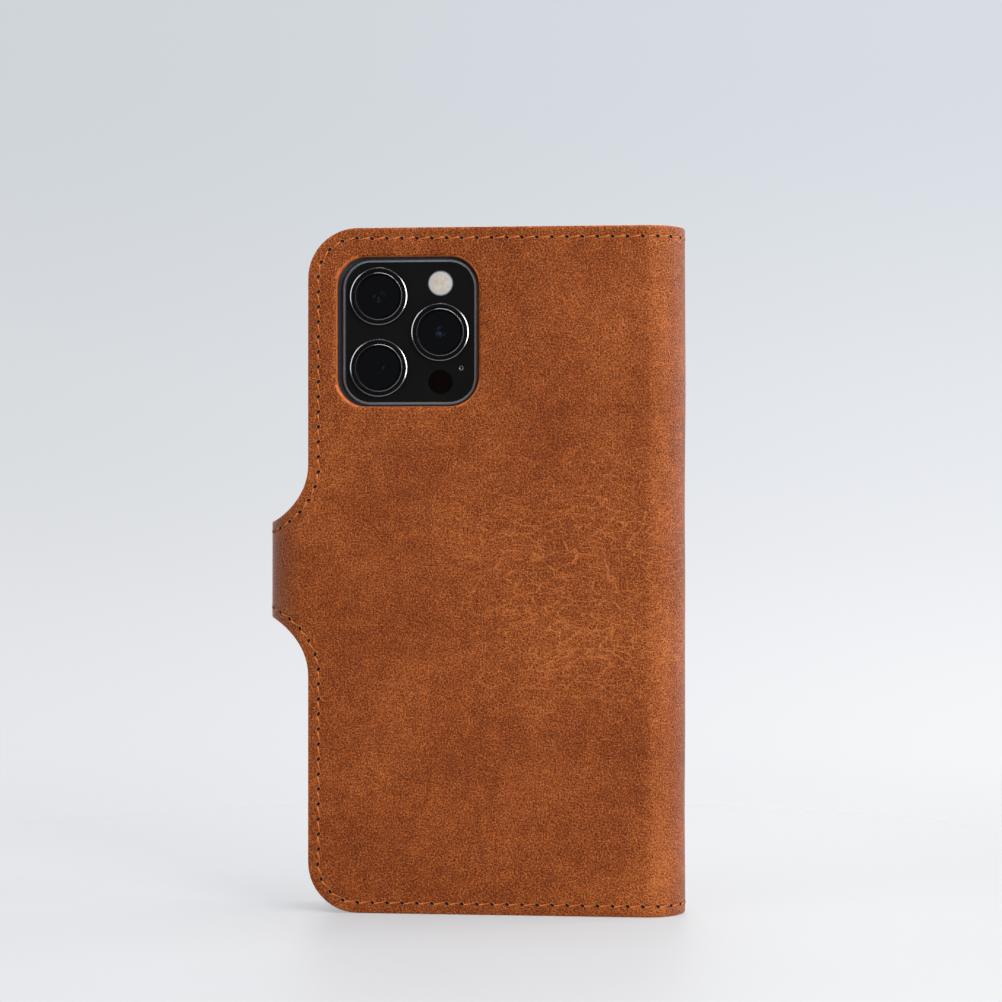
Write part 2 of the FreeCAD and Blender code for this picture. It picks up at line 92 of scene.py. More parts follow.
class Wire:
    """One output of a shader node. Arithmetic on it adds Math nodes, and node() adds any other kind."""

    def __init__(self, tree, socket=None):
        self.tree = tree
        self.socket = socket

    def node(self, kind, settings=None, inputs=None, output=0):
        made = self.tree.nodes.new("ShaderNode" + kind)
        for name, value in (settings or {}).items():
            if name == "ramp":
                stops = made.color_ramp.elements
                while len(stops) < len(value):
                    stops.new(1.0)
                for stop, (place, colour) in zip(stops, value):
                    stop.position = place
                    stop.color = (*colour, 1) if isinstance(colour, tuple) else (colour,) * 3 + (1,)
            else:
                setattr(made, name, value)
        for name, value in (inputs or {}).items():
            if isinstance(name, int):
                socket = made.inputs[name]
            else:
                socket = next(s for s in made.inputs if s.name == name and s.enabled)
            if isinstance(value, Wire):
                self.tree.links.new(value.socket, socket)
            elif isinstance(value, tuple) and len(value) == 3 and socket.type == "RGBA":
                socket.default_value = (*value, 1)
            else:
                socket.default_value = value
        if isinstance(output, int):
            return Wire(self.tree, made.outputs[output])
        return Wire(self.tree, next(s for s in made.outputs if s.name == output and s.enabled))

    def maths(self, operation, *values):
        return self.node("Math", {"operation": operation}, dict(enumerate(values)))

    def __add__(self, other):
        return self.maths("ADD", self, other)

    def __radd__(self, other):
        return self.maths("ADD", other, self)

    def __sub__(self, other):
        return self.maths("SUBTRACT", self, other)

    def __rsub__(self, other):
        return self.maths("SUBTRACT", other, self)

    def __mul__(self, other):
        return self.maths("MULTIPLY", self, other)

    def __rmul__(self, other):
        return self.maths("MULTIPLY", other, self)

    def step(self, low, high):
        """0 below low and 1 above high, with a smooth rise between. High may be the lower one."""
        return self.node("MapRange", {"interpolation_type": "SMOOTHSTEP"},
                         {"Value": self, "From Min": low, "From Max": high})

    def tint(self, colour_a, colour_b):
        """Colour A where this is 0 and colour B where it is 1."""
        return self.node("Mix", {"data_type": "RGBA"},
                         {"Factor": self, "A": colour_a, "B": colour_b}, "Result")

    def axis(self, letter):
        """These coordinates along one axis."""
        return self.node("SeparateXYZ", {}, {0: self}, letter)

    def length(self):
        """How far these coordinates are from zero."""
        return self.node("VectorMath", {"operation": "LENGTH"}, {0: self}, "Value")

    def place(self):
        """The object's own coordinates."""
        return self.node("TexCoord", {}, {}, "Object")

    def stored(self, name, output="Vector"):
        """What a piece stores on its points under a name."""
        return self.node("Attribute", {"attribute_name": name}, {}, output)

    def ramp(self, *stops):
        """A colour ramp over this, of places and colours."""
        return self.node("ValToRGB", {"ramp": stops}, {"Fac": self}, "Color")

    def slanted(self, angle, stretch):
        """These coordinates turned in the hide's plane, and squeezed along each axis by that much."""
        return self.node("Mapping", {}, {"Vector": self, "Rotation": (0, angle, 0), "Scale": stretch})

    def noise(self, size, detail=3.0, roughness=0.55):
        """Cloudy noise over these coordinates, with patches of about that size."""
        return self.node("TexNoise", {}, {"Vector": self, "Scale": 1 / size, "Detail": detail,
                                          "Roughness": roughness}, "Fac")

    def shifted(self, size, amount):
        """These coordinates, pushed about by noise of that size."""
        push = self.node("TexNoise", {}, {"Vector": self, "Scale": 1 / size, "Detail": 2.0}, "Color")
        middle = self.node("VectorMath", {"operation": "SUBTRACT"}, {0: push, 1: (0.5, 0.5, 0.5)})
        push = self.node("VectorMath", {"operation": "SCALE"}, {0: middle, "Scale": amount * 2})
        return self.node("VectorMath", {"operation": "ADD"}, {0: self, 1: push})

    def cells(self, size, feature="DISTANCE_TO_EDGE"):
        """Cells of about that size: the distance to their edges, or to their middles."""
        return self.node("TexVoronoi", {"feature": feature},
                         {"Vector": self, "Scale": 1 / size}, "Distance")

    def bump(self, distance, strength=1.0):
        """A normal from this height, which is in units of that distance."""
        return self.node("Bump", {}, {"Height": self, "Distance": distance,
                                      "Strength": strength}, "Normal")

    def show(self):
        """Links this shader to its material's output."""
        output = self.tree.nodes.new("ShaderNodeOutputMaterial")
        self.tree.links.new(self.socket, output.inputs["Surface"])

    def surface(self, values):
        """Shows one shader with these values and links."""
        self.node("BsdfPrincipled", {}, values).show()


def new_material(name):
    """An empty material and a wire to build it with."""
    material = bpy.data.materials.new(name)
    material.use_nodes = True
    material.node_tree.nodes.clear()
    return material, Wire(material.node_tree)


table_top, wire = new_material("table_top")
place = wire.place()
reach = place.length()
gloss = wire.node("BsdfPrincipled", {}, {
    "Base Color": (0.492, 0.495, 0.503), "Roughness": 0.5, "Specular IOR Level": 0.04})
clear = wire.node("BsdfTransparent")
fade = reach.step(*FLOOR_FADE) * (1 - FLOOR_CLEAR) + FLOOR_CLEAR
wire.node("MixShader", {}, {0: fade, 1: gloss, 2: clear}).show()
bpy.ops.mesh.primitive_circle_add(vertices=96, radius=FLOOR_R, fill_type="NGON",
                                  location=(0, 0, -FLOOR_DROP))
floor = bpy.context.object
floor.name = "table_top"
floor.data.materials.append(table_top)

world = bpy.context.scene.world or bpy.data.worlds.new("sweep")
bpy.context.scene.world = world
world.use_nodes = True
world.node_tree.nodes.clear()
sky = Wire(world.node_tree)
direction = sky.node("TexCoord", {}, {}, "Generated")
across = direction.axis("X")
depth = direction.axis("Y")
height = direction.axis("Z")
low_grey = across.step(-0.32, 0.14).tint((0.79, 0.80, 0.83), (0.92, 0.93, 0.95))
mid_grey = across.step(-0.32, 0.14).tint((0.70, 0.72, 0.745), (0.81, 0.83, 0.87))
top_grey = across.step(-0.32, 0.14).tint((0.625, 0.66, 0.695), (0.685, 0.73, 0.775))
upper = height.step(0.0, 0.16).tint(mid_grey, top_grey)
grey = height.step(-0.09, 0.03).tint(low_grey, upper)
shown = sky.node("Background", {}, {"Color": grey, "Strength": 1.0})
behind = depth.step(-0.5, 0.6).tint((0.16, 0.17, 0.18), (0.80, 0.83, 0.87))
glow = sky.node("Background", {}, {"Color": behind, "Strength": 1.0})
seen = sky.node("LightPath", {}, {}, "Is Camera Ray")
both = sky.node("MixShader", {}, {0: seen, 1: glow, 2: shown})
world_out = world.node_tree.nodes.new("ShaderNodeOutputWorld")
world.node_tree.links.new(both.socket, world_out.inputs["Surface"])


def soft_box(name, azimuth, height, distance, size, power, colour=(1, 1, 1)):
    """A rectangular light facing the case. Azimuth 0 is in front and 90 is at the spine's side."""
    turn = math.radians(azimuth)
    spot = Vector((distance * math.sin(turn), -distance * math.cos(turn), height))
    aim = (Vector((0, 0, 80 * MM)) - spot).to_track_quat("-Z", "Y").to_euler()
    bpy.ops.object.light_add(type="AREA", location=spot, rotation=aim)
    light = bpy.context.object
    light.name = name
    light.data.shape = "RECTANGLE"
    light.data.size, light.data.size_y = size
    light.data.energy = power
    light.data.color = colour


soft_box("key_box", 40, 0.27, 0.85, (0.36, 0.70), 7.5, (1.0, 0.97, 0.93))
soft_box("fill_box", -52, 0.40, 0.95, (0.60, 0.70), 3.4, (0.95, 0.97, 1.0))
soft_box("top_box", 20, 1.0, 0.12, (0.70, 0.70), 4.2, (0.97, 0.98, 1.0))
soft_box("rim_box", 112, 0.20, 0.60, (0.16, 0.55), 1.6, (1.0, 0.97, 0.94))
soft_box("back_box", 190, 0.45, 0.95, (0.70, 0.60), 3.4)
soft_box("corner_box", 84, 0.62, 0.52, (0.30, 0.30), 1.5, (1.0, 0.98, 0.96))

# Cover leather --------------------------------------------------------
# One piece of waxed pull-up cowhide, 1.5 mm thick, is cut flat with the strap in one with it, a
# camera window is punched in it, its edges are bevelled and painted, and it is bent round the
# spine and round the phone's side. It is parted here where it crosses from fold to fold.
COVER_H = 155 * MM
COVER_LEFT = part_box("front_leather")[0].x
SPINE_R = 9 * MM
SPINE_X = cad_high.x - SPINE_R
STRAP_R = 10.25 * MM
STRAP_X = cad_low.x + STRAP_R
STRAP_HALF = 11.2 * MM
STRAP_ROOT_R = 12.8 * MM
STRAP_LIFTED = math.radians(20)
STRAP_FLAT = 26.6 * MM
STRAP_END_R = 9 * MM
CORNER_R = 11.4 * MM
LEATHER_T = 1.5 * MM
LINING_T = 0.8 * MM
EDGE_BEVEL = 0.55 * MM
STITCH_IN = 2.5 * MM
CHANNEL_W = 0.5 * MM
CHANNEL_D = 0.16 * MM
WINDOW_W, WINDOW_H, WINDOW_R = 32.4 * MM, 33.9 * MM, 6.8 * MM
WINDOW_X, WINDOW_Z = -14.9 * MM, 131.5 * MM
WINDOW_BEVEL = 0.9 * MM
WAVE = 0.16 * MM
WAVE_SIZE = 26 * MM
ROOT_REACH = 16 * MM
PUNCH_FROM, PUNCH_TO = -5 * MM, 8 * MM
GRID_STEP, BEND_STEP = 3.2 * MM, 1.1 * MM
NEAR = 0.01 * MM

# The leather's own flat coordinates: x runs on past the bends as it does on the uncut hide
HALF_TURN = math.pi / 2
SPINE_MID = SPINE_X + HALF_TURN * SPINE_R
SPINE_END = SPINE_X + math.pi * SPINE_R
FRONT_EDGE = SPINE_END + SPINE_X - COVER_LEFT
STRAP_PART = COVER_LEFT - 2.4 * MM
STRAP_MID = STRAP_X - HALF_TURN * STRAP_R
STRAP_STRAIGHT = STRAP_X - math.pi * STRAP_R
STRAP_TIP = STRAP_STRAIGHT - STRAP_FLAT
MID_Z = COVER_H / 2
SPARE = 6 * MM


def along(runs, heading, side, length, depth):
    """The point at a length along a line of runs from the strap's bend, and a depth in from it.

    Each run is a length and the angle that it turns through, and the last has no end.
    """
    point = Vector((STRAP_X, BACK_Y))
    for run, turned in runs:
        step = min(length, run)
        if turned:
            radius = run / turned
            inward = Vector((-math.sin(heading), math.cos(heading))) * side
            centre = point + inward * radius
            heading += side * step / radius
            inward = Vector((-math.sin(heading), math.cos(heading))) * side
            point = centre - inward * radius
        else:
            point = point + Vector((math.cos(heading), math.sin(heading))) * step
        length -= step
        if length <= 0:
            break
    return point + Vector((-math.sin(heading), math.cos(heading))) * (side * depth)


COVER_RUNS = ((SPINE_X - STRAP_X, 0), (math.pi * SPINE_R, math.pi), (1.0, 0))
STRAP_RUNS = ((HALF_TURN * STRAP_R, HALF_TURN), (HALF_TURN * STRAP_R, STRAP_LIFTED), (1.0, 0))


def bent(x, depth):
    """Where a point of the flat hide lies once it is bent into the case."""
    if x < STRAP_X:
        return along(STRAP_RUNS, math.pi, -1, STRAP_X - x, depth)
    return along(COVER_RUNS, 0, 1, x - STRAP_X, depth)


def bent_point(x):
    """Where the hide's outer face lies once bent, as a point in space at half height."""
    spot = bent(x, 0.0)
    return Vector((spot.x, spot.y, MID_Z))


def only(piece):
    """Makes a piece the only one selected."""
    bpy.ops.object.select_all(action="DESELECT")
    piece.select_set(True)
    bpy.context.view_layer.objects.active = piece


def edit(piece):
    only(piece)
    bpy.ops.object.mode_set(mode="EDIT")
    bpy.ops.mesh.select_mode(type="FACE")
    bpy.ops.mesh.select_all(action="SELECT")


def leave():
    bpy.ops.object.mode_set(mode="OBJECT")


def pick(kind, test):
    """Selects only the faces, edges or vertices that pass a test."""
    data = bpy.context.object.data
    bpy.ops.mesh.select_mode(type=kind)
    bpy.ops.mesh.select_all(action="DESELECT")
    mesh = bmesh.from_edit_mesh(data)
    items = {"FACE": mesh.faces, "EDGE": mesh.edges, "VERT": mesh.verts}[kind]
    for item in items:
        if test(item):
            item.select_set(True)
    mesh.select_flush_mode()
    bmesh.update_edit_mesh(data)


def middle(edge):
    return (edge.verts[0].co + edge.verts[1].co) / 2


def slab(name, x0, x1, z0, z1, y0, y1):
    """A flat block of leather or lining between two corners."""
    bpy.ops.mesh.primitive_cube_add(
        size=1, location=((x0 + x1) / 2, (y0 + y1) / 2, (z0 + z1) / 2),
        scale=(x1 - x0, y1 - y0, z1 - z0))
    piece = bpy.context.object
    piece.name = piece.data.name = name
    bpy.ops.object.transform_apply(location=True, rotation=False, scale=True)
    return piece


def round_corners(piece, corners, radius, segments=14):
    """Rounds the upright corners of a flat block that stand at these places."""
    edit(piece)

    def at_corner(edge):
        spot = middle(edge)
        upright = abs(edge.verts[0].co.y - edge.verts[1].co.y) > NEAR
        return upright and any(abs(spot.x - x) < NEAR and abs(spot.z - z) < NEAR for x, z in corners)

    pick("EDGE", at_corner)
    bpy.ops.mesh.bevel(offset=radius, segments=segments, affect="EDGES")
    leave()


def cut_at(places, normal):
    """Cuts the mesh in edit mode across at each of these places along an axis."""
    for place in places:
        bpy.ops.mesh.select_all(action="SELECT")
        bpy.ops.mesh.bisect(plane_co=[place * n for n in normal], plane_no=normal)


def trim(piece, place, keep_right):
    """Cuts a piece off at a place along x, and closes the cut."""
    edit(piece)
    bpy.ops.mesh.bisect(plane_co=(place, 0, 0), plane_no=(1, 0, 0), use_fill=True,
                        clear_inner=keep_right, clear_outer=not keep_right)
    leave()


def copy_of(piece, name):
    """A copy of a piece with its own mesh."""
    twin = piece.copy()
    twin.data = piece.data.copy()
    twin.name = twin.data.name = name
    bpy.context.collection.objects.link(twin)
    return twin


def cut_away(piece, cutter):
    """Takes a cutter's shape out of a piece and throws the cutter away."""
    only(piece)
    punch = piece.modifiers.new("punch", "BOOLEAN")
    punch.operation = "DIFFERENCE"
    punch.solver = "EXACT"
    punch.object = cutter
    bpy.ops.object.modifier_apply(modifier=punch.name)
    bpy.data.objects.remove(cutter)


def bevel_rim(piece, depth, offset, test=None, segments=3):
    """Rounds over the rim of a flat block's face at a depth."""
    edit(piece)

    def on_rim(edge):
        flat = all(abs(v.co.y - depth) < NEAR for v in edge.verts)
        sides = [abs(f.normal.y) for f in edge.link_faces]
        return flat and min(sides) < 0.5 < max(sides) and (test is None or test(middle(edge)))

    pick("EDGE", on_rim)
    bpy.ops.mesh.bevel(offset=offset, segments=segments, affect="EDGES")
    leave()


def press_line(piece, depth, inset, width, sink):
    """Presses a line round the outer face of a flat block, at an inset from its rim."""
    edit(piece)
    faces = bmesh.from_edit_mesh(piece.data).faces
    largest = max(f.calc_area() for f in faces if abs(f.calc_center_median().y - depth) < NEAR)
    pick("FACE", lambda f: abs(f.calc_center_median().y - depth) < NEAR
         and f.calc_area() > 0.9 * largest)
    bpy.ops.mesh.inset(thickness=inset - width)
    bpy.ops.mesh.inset(thickness=width)
    bpy.ops.transform.translate(value=(0, sink, 0))
    bpy.ops.mesh.inset(thickness=width)
    bpy.ops.transform.translate(value=(0, -sink, 0))
    leave()


def spaced(start, end, step):
    """Evenly spaced places from start to end, about a step apart, without the two ends."""
    count = max(2, round(abs(end - start) / step))
    return [start + (end - start) * i / count for i in range(1, count)]


def store(piece, name, value):
    """Stores a place, worked out from each point, for the piece's material to read."""
    layer = piece.data.attributes.new(name, "FLOAT_VECTOR", "POINT")
    for v in piece.data.vertices:
        layer.data[v.index].vector = value(v.co)


def keep_flat(piece, seams):
    """Stores where each point lies on the flat hide, and how far it is from the nearest edge."""
    mesh = piece.data
    store(piece, "hide", lambda co: co)
    working = bmesh.new()
    working.from_mesh(mesh)
    spots = []
    for edge in working.edges:
        on_face = all(abs(v.co.y - LEATHER_T) < NEAR for v in edge.verts)
        on_side = any(abs(f.normal.y) < 0.5 for f in edge.link_faces)
        on_seam = any(all(abs(v.co.x - seam) < NEAR for v in edge.verts) for seam in seams)
        if on_face and on_side and not on_seam:
            for i in range(9):
                spots.append(edge.verts[0].co.lerp(edge.verts[1].co, i / 8))
    working.free()
    tree = kdtree.KDTree(len(spots))
    for i, spot in enumerate(spots):
        tree.insert((spot.x, 0, spot.z), i)
    tree.balance()
    rim = mesh.attributes.new("rim", "FLOAT", "POINT")
    for v in mesh.vertices:
        rim.data[v.index].value = tree.find((v.co.x, 0, v.co.z))[2]


def wavy(x, z):
    """How far the hide's face lies below flat, at a place on it."""
    return WAVE * (0.5 + noise.noise(Vector((x, 0.3, z)) / WAVE_SIZE))


def bend_round(piece, thick, waves):
    """Lets the outer face wave a little, then bends a flat piece into the case."""
    for v in piece.data.vertices:
        x, depth, z = v.co
        if waves:
            depth += wavy(x, z) * max(0.0, 1 - depth / thick)
        spot = bent(x, depth)
        v.co = (spot.x, spot.y, z)


def smooth(piece, angle=32):
    only(piece)
    bpy.ops.object.shade_smooth_by_angle(angle=math.radians(angle))


def paint_edges(piece, steep):
    """Gives the second material to a flat piece's edges, and to all of the window's bevel."""
    for face in piece.data.polygons:
        limit = 0.8 if in_window(face.center) else steep
        face.material_index = 1 if abs(face.normal.y) < limit else 0


def window_cutter(name):
    """The punch for the camera window."""
    x0, x1 = WINDOW_X - WINDOW_W / 2, WINDOW_X + WINDOW_W / 2
    z0, z1 = WINDOW_Z - WINDOW_H / 2, WINDOW_Z + WINDOW_H / 2
    punch = slab(name, x0, x1, z0, z1, PUNCH_FROM, PUNCH_TO)
    round_corners(punch, [(x0, z0), (x0, z1), (x1, z0), (x1, z1)], WINDOW_R, 12)
    return punch


def in_window(spot):
    return (abs(spot.x - WINDOW_X) < WINDOW_W / 2 + 0.1 * MM
            and abs(spot.z - WINDOW_Z) < WINDOW_H / 2 + 0.1 * MM)


def cover_blank(name, y0, y1):
    """The back cover cut flat, with half the spine and the strap's root, and spare at the ends."""
    blank = slab(name, COVER_LEFT, SPINE_MID + SPARE, 0, COVER_H, y0, y1)
    edit(blank)
    cut_at((MID_Z - STRAP_HALF, MID_Z + STRAP_HALF), (0, 0, 1))
    pick("FACE", lambda f: f.normal.x < -0.9 and abs(f.calc_center_median().z - MID_Z) < STRAP_HALF)
    reach = STRAP_MID - SPARE - COVER_LEFT
    bpy.ops.mesh.extrude_region_move(TRANSFORM_OT_translate={"value": (reach, 0, 0)})
    bpy.ops.mesh.select_all(action="SELECT")
    bpy.ops.mesh.dissolve_limited(angle_limit=math.radians(1))
    leave()
    round_corners(blank, [(COVER_LEFT, 0), (COVER_LEFT, COVER_H)], CORNER_R)
    roots = [(COVER_LEFT, MID_Z - STRAP_HALF), (COVER_LEFT, MID_Z + STRAP_HALF)]
    round_corners(blank, roots, STRAP_ROOT_R)
    return blank


def front_blank(name, y0, y1):
    """The front cover cut flat, with the spine's second half and spare at its end."""
    blank = slab(name, SPINE_MID - SPARE, FRONT_EDGE, 0, COVER_H, y0, y1)
    round_corners(blank, [(FRONT_EDGE, 0), (FRONT_EDGE, COVER_H)], CORNER_R)
    return blank


def tip_blank(name, y0, y1):
    """The strap's end cut flat, with spare at its root."""
    z0, z1 = MID_Z - STRAP_HALF, MID_Z + STRAP_HALF
    blank = slab(name, STRAP_TIP, STRAP_MID + SPARE, z0, z1, y0, y1)
    round_corners(blank, [(STRAP_TIP, z0), (STRAP_TIP, z1)], STRAP_END_R)
    return blank


def grid(piece, span, heights, bend):
    """Cuts a flat piece into a grid, finer where it bends."""
    edit(piece)
    cut_at(spaced(*span, GRID_STEP), (1, 0, 0))
    cut_at(spaced(*bend, BEND_STEP), (1, 0, 0))
    cut_at(spaced(*heights, GRID_STEP), (0, 0, 1))
    leave()


# The hide's four parts. Each has its blank, its span along the hide, the cuts that part it with
# the side that is kept, its heights, its bend, the two bodies it joins, and where it turns from
# following the first body to following the second.
PARTS = {
    "strap_root": (cover_blank, (STRAP_MID, STRAP_PART), ((STRAP_PART, False), (STRAP_MID, True)),
                   (MID_Z - ROOT_REACH, MID_Z + ROOT_REACH), (STRAP_MID, STRAP_PART),
                   ("back", "strap_side"), (STRAP_PART, STRAP_MID)),
    "back_cover": (cover_blank, (STRAP_PART, SPINE_MID), ((STRAP_PART, True), (SPINE_MID, False)),
                   (0, COVER_H), (SPINE_X, SPINE_MID), ("back", "spine"), (SPINE_X, SPINE_MID)),
    "front_cover": (front_blank, (SPINE_MID, FRONT_EDGE), ((SPINE_MID, True),),
                    (0, COVER_H), (SPINE_MID, SPINE_END), ("spine", "front"), (SPINE_MID, SPINE_END)),
    "strap_end": (tip_blank, (STRAP_TIP, STRAP_MID), ((STRAP_MID, False),),
                  (MID_Z - STRAP_HALF, MID_Z + STRAP_HALF), (STRAP_STRAIGHT, STRAP_MID),
                  ("strap_side", "strap_tip"), (STRAP_MID, STRAP_STRAIGHT))}


def cut_part(part, layer, y0, y1, dress):
    """Cuts one part of a layer flat. Dress works the blank's rim before the part is cut from it."""
    blank, span, cuts, heights, bend = PARTS[part][:5]
    piece = blank(part + "_" + layer, y0, y1)
    dress(piece)
    for place, keep_right in cuts:
        trim(piece, place, keep_right)
    if part == "back_cover":
        cut_away(piece, window_cutter(layer + "_punch"))
        if layer == "leather":
            bevel_rim(piece, 0, WINDOW_BEVEL, in_window)
    grid(piece, span, heights, bend)
    keep_flat(piece, [place for place, keep_right in cuts])
    return piece


def form(piece, thick, face, waves=False, steep=0.62):
    """Paints a flat piece's edges, bends it with the hide, smooths it and gives it its finishes."""
    paint_edges(piece, steep)
    bend_round(piece, thick, waves)
    smooth(piece)
    piece.data.materials.append(face)
    piece.data.materials.append(edge_paint)


def join_part(piece, part):
    """Bakes a piece's placement into its mesh. It looks up the two bodies that its part of the hide
    joins and where the part turns between them, but does nothing with them.
    """
    bodies, (start, end) = PARTS[part][5:]
    bent_point(start)
    bent_point(end)
    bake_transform(piece)


# Pull-up leather: fine sharp pebbles with paler veins between them on a deep orange-brown, soft
# clouds of colour, and slanting growth wrinkles that are strongest in one part of the hide. It
# goes paler where it is bent over the spine, partly as pull-up leather does and partly as a
# painted highlight on the bend.
WRINKLED = (26 * MM, 0, 76 * MM)

cowhide, wire = new_material("waxed_cowhide")
hide = wire.stored("hide")
rim = wire.stored("rim", "Fac")
pebble = hide.shifted(1.1 * MM, 0.26 * MM).cells(0.70 * MM)
vein = pebble.step(0.13, 0.0)
grain = hide.shifted(0.8 * MM, 0.15 * MM).noise(0.33 * MM, 2.0, 0.7)
pore = hide.noise(0.70 * MM, 2.0, 0.6).step(0.42, 0.30)
offset = wire.node("VectorMath", {"operation": "SUBTRACT"}, {0: hide, 1: WRINKLED})
away = offset.length()
patch = hide.noise(24 * MM, 3.0)
creasing = away.step(46 * MM, 8 * MM) * 0.95 + patch.step(0.46, 0.68) * 0.35
steep = hide.shifted(8 * MM, 2.0 * MM).slanted(math.radians(-31), (0.30, 1.0, 1.0))
level = hide.shifted(5 * MM, 1.5 * MM).slanted(math.radians(-8), (0.34, 1.0, 1.0))
steep_folds = steep.cells(2.3 * MM)
level_folds = level.cells(1.8 * MM)
crease = (steep_folds.step(0.062, 0.0) * 0.8 + level_folds.step(0.055, 0.0) * 0.5) * creasing
cloud = hide.noise(24 * MM, 4.0, 0.55)
mottle = hide.noise(3.2 * MM, 3.0, 0.6)
light = (grain - 0.5) * 3.0 + vein * 0.30 + crease * 0.37 - pore * 0.36
light = light + (mottle - 0.5) * 0.50 + (cloud - 0.5) * 0.60 + 0.35
# Over the spine's bend the hide is lighter: pull-up leather paling where bent, and a painted highlight.
run = hide.axis("X") - SPINE_X
bent_pale_and_painted_highlight = run.step(-0.5 * MM, 2.5 * MM) * run.step(8 * MM, 4.5 * MM)
light = light + rim.step(1.0 * MM, 0.2 * MM) * 0.12 + bent_pale_and_painted_highlight * 0.13
ground = light.ramp((0.0, (0.070, 0.0085, 0.0010)), (0.45, (0.202, 0.0320, 0.0024)),
                    (1.0, (0.470, 0.140, 0.0340)))
mark = hide.noise(8 * MM, 3.0, 0.7).step(0.745, 0.80)
relief = pebble.step(0.0, 0.30) * 0.55 + grain * 0.95 - crease * 0.9 - pore * 0.3 + mottle * 0.4
wire.surface({
    "Base Color": mark.tint(ground, (0.040, 0.010, 0.004)),
    "Roughness": 0.38 - vein * 0.05 + (mottle - 0.5) * 0.16,
    "Specular IOR Level": 0.36,
    "Specular Tint": (1.0, 0.68, 0.42),
    "Normal": relief.bump(0.13 * MM, 1.0)})

# Edge paint: orange-brown, flexible and smooth, with a few fine runs along it
edge_paint, wire = new_material("edge_paint")
hide = wire.stored("hide")
runs = hide.noise(1.3 * MM, 4.0, 0.6)
fine = hide.noise(0.25 * MM, 2.0)
wire.surface({
    "Base Color": runs.step(0.3, 0.75).tint((0.46, 0.098, 0.017), (0.66, 0.170, 0.036)),
    "Roughness": 0.40 + (fine - 0.5) * 0.2,
    "Specular IOR Level": 0.35,
    "Normal": (runs * 0.7 + fine * 0.4).bump(0.08 * MM, 0.6)})


def dress_leather(piece):
    """Bevels the outer rim and presses the channel that the stitches lie in."""
    bevel_rim(piece, 0, EDGE_BEVEL)
    press_line(piece, 0, STITCH_IN - EDGE_BEVEL, CHANNEL_W, CHANNEL_D)


for part, nodes in (("strap_root", ("strap_side_leather",)),
                    ("back_cover", ("back_leather",)),
                    ("front_cover", ("spine_leather", "front_leather")),
                    ("strap_end", ("strap_tip_leather",))):
    piece = cut_part(part, "leather", 0, LEATHER_T, dress_leather)
    form(piece, LEATHER_T, cowhide, waves=True)
    join_part(piece, part)
    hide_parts(*nodes)

# Lining ---------------------------------------------------------------
# Napped split suede, 0.8 mm thick, is glued to the leather's flesh side and sewn round the edge.
# It is cut to the same four parts as the leather, with its rim only slightly rounded.
LINING_BEVEL = 0.12 * MM
LINING_IN = LEATHER_T + LINING_T

suede, wire = new_material("suede_lining")
hide = wire.stored("hide")
nap = hide.shifted(1.2 * MM, 0.5 * MM).noise(0.28 * MM, 4.0, 0.7)
stroke = hide.noise(14 * MM, 3.0)
brushed = (nap * 0.6 + stroke * 0.4).step(0.3, 0.7)
wire.surface({
    "Base Color": brushed.tint((0.085, 0.034, 0.016), (0.20, 0.085, 0.040)),
    "Roughness": 0.92,
    "Sheen Weight": 0.35,
    "Sheen Roughness": 0.45,
    "Specular IOR Level": 0.2,
    "Normal": nap.bump(0.16 * MM, 0.6)})


def dress_lining(piece):
    bevel_rim(piece, LINING_IN, LINING_BEVEL, segments=2)


for part, nodes in (("strap_root", ("strap_side_lining",)),
                    ("back_cover", ("back_lining",)),
                    ("front_cover", ("spine_lining", "front_lining")),
                    ("strap_end", ("strap_tip_lining",))):
    piece = cut_part(part, "lining", LEATHER_T, LINING_IN, dress_lining)
    form(piece, LINING_IN, suede)
    join_part(piece, part)
    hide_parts(*nodes)

# Stitching ------------------------------------------------------------
# Waxed linen thread, a third of a millimetre thick, is saddle sewn through punched slanting
# holes all round the hide, 2.5 mm in from its edge. Each stitch leaves its hole low and climbs
# to the next one.
STITCH = 3.4 * MM
THREAD_R = 0.165 * MM
STITCH_LEN = 2.70 * MM
STITCH_SLANT = 0.24 * MM
STITCH_RISE = 0.11 * MM
STRAP_TUCK = 0.20 * MM
HOLE_W, HOLE_H = 0.98 * MM, 0.72 * MM
HOLE_LIP = 0.12 * MM
HOLE_SLANT = math.radians(-32)
STITCH_CUT = 0.46 * MM
PLY_ALONG, PLY_ROUND = 0.52 * MM, 0.62 * MM
POCKET_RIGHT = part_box("card_pocket_lower")[1].x
NOTE_T, POCKET_T = 0.80 * MM, 0.75 * MM
POCKET_TOPS = (118 * MM, 106 * MM, 94 * MM)


def rounded_path(corners):
    """A closed path of (start, end, centre) runs round corners that are each a place and a radius.

    A run with no centre is a straight line.
    """
    runs = []
    count = len(corners)
    ends = []
    for i, (x, z, radius) in enumerate(corners):
        spot = Vector((x, z))
        before = (Vector(corners[i - 1][:2]) - spot).normalized()
        after = (Vector(corners[(i + 1) % count][:2]) - spot).normalized()
        half = before.angle(after) / 2
        back = radius / math.tan(half)
        centre = spot + (before + after).normalized() * radius / math.sin(half)
        ends.append((spot + before * back, spot + after * back, centre))
    for i, (start, end, centre) in enumerate(ends):
        runs.append((start, end, centre))
        runs.append((end, ends[(i + 1) % count][0], None))
    return runs


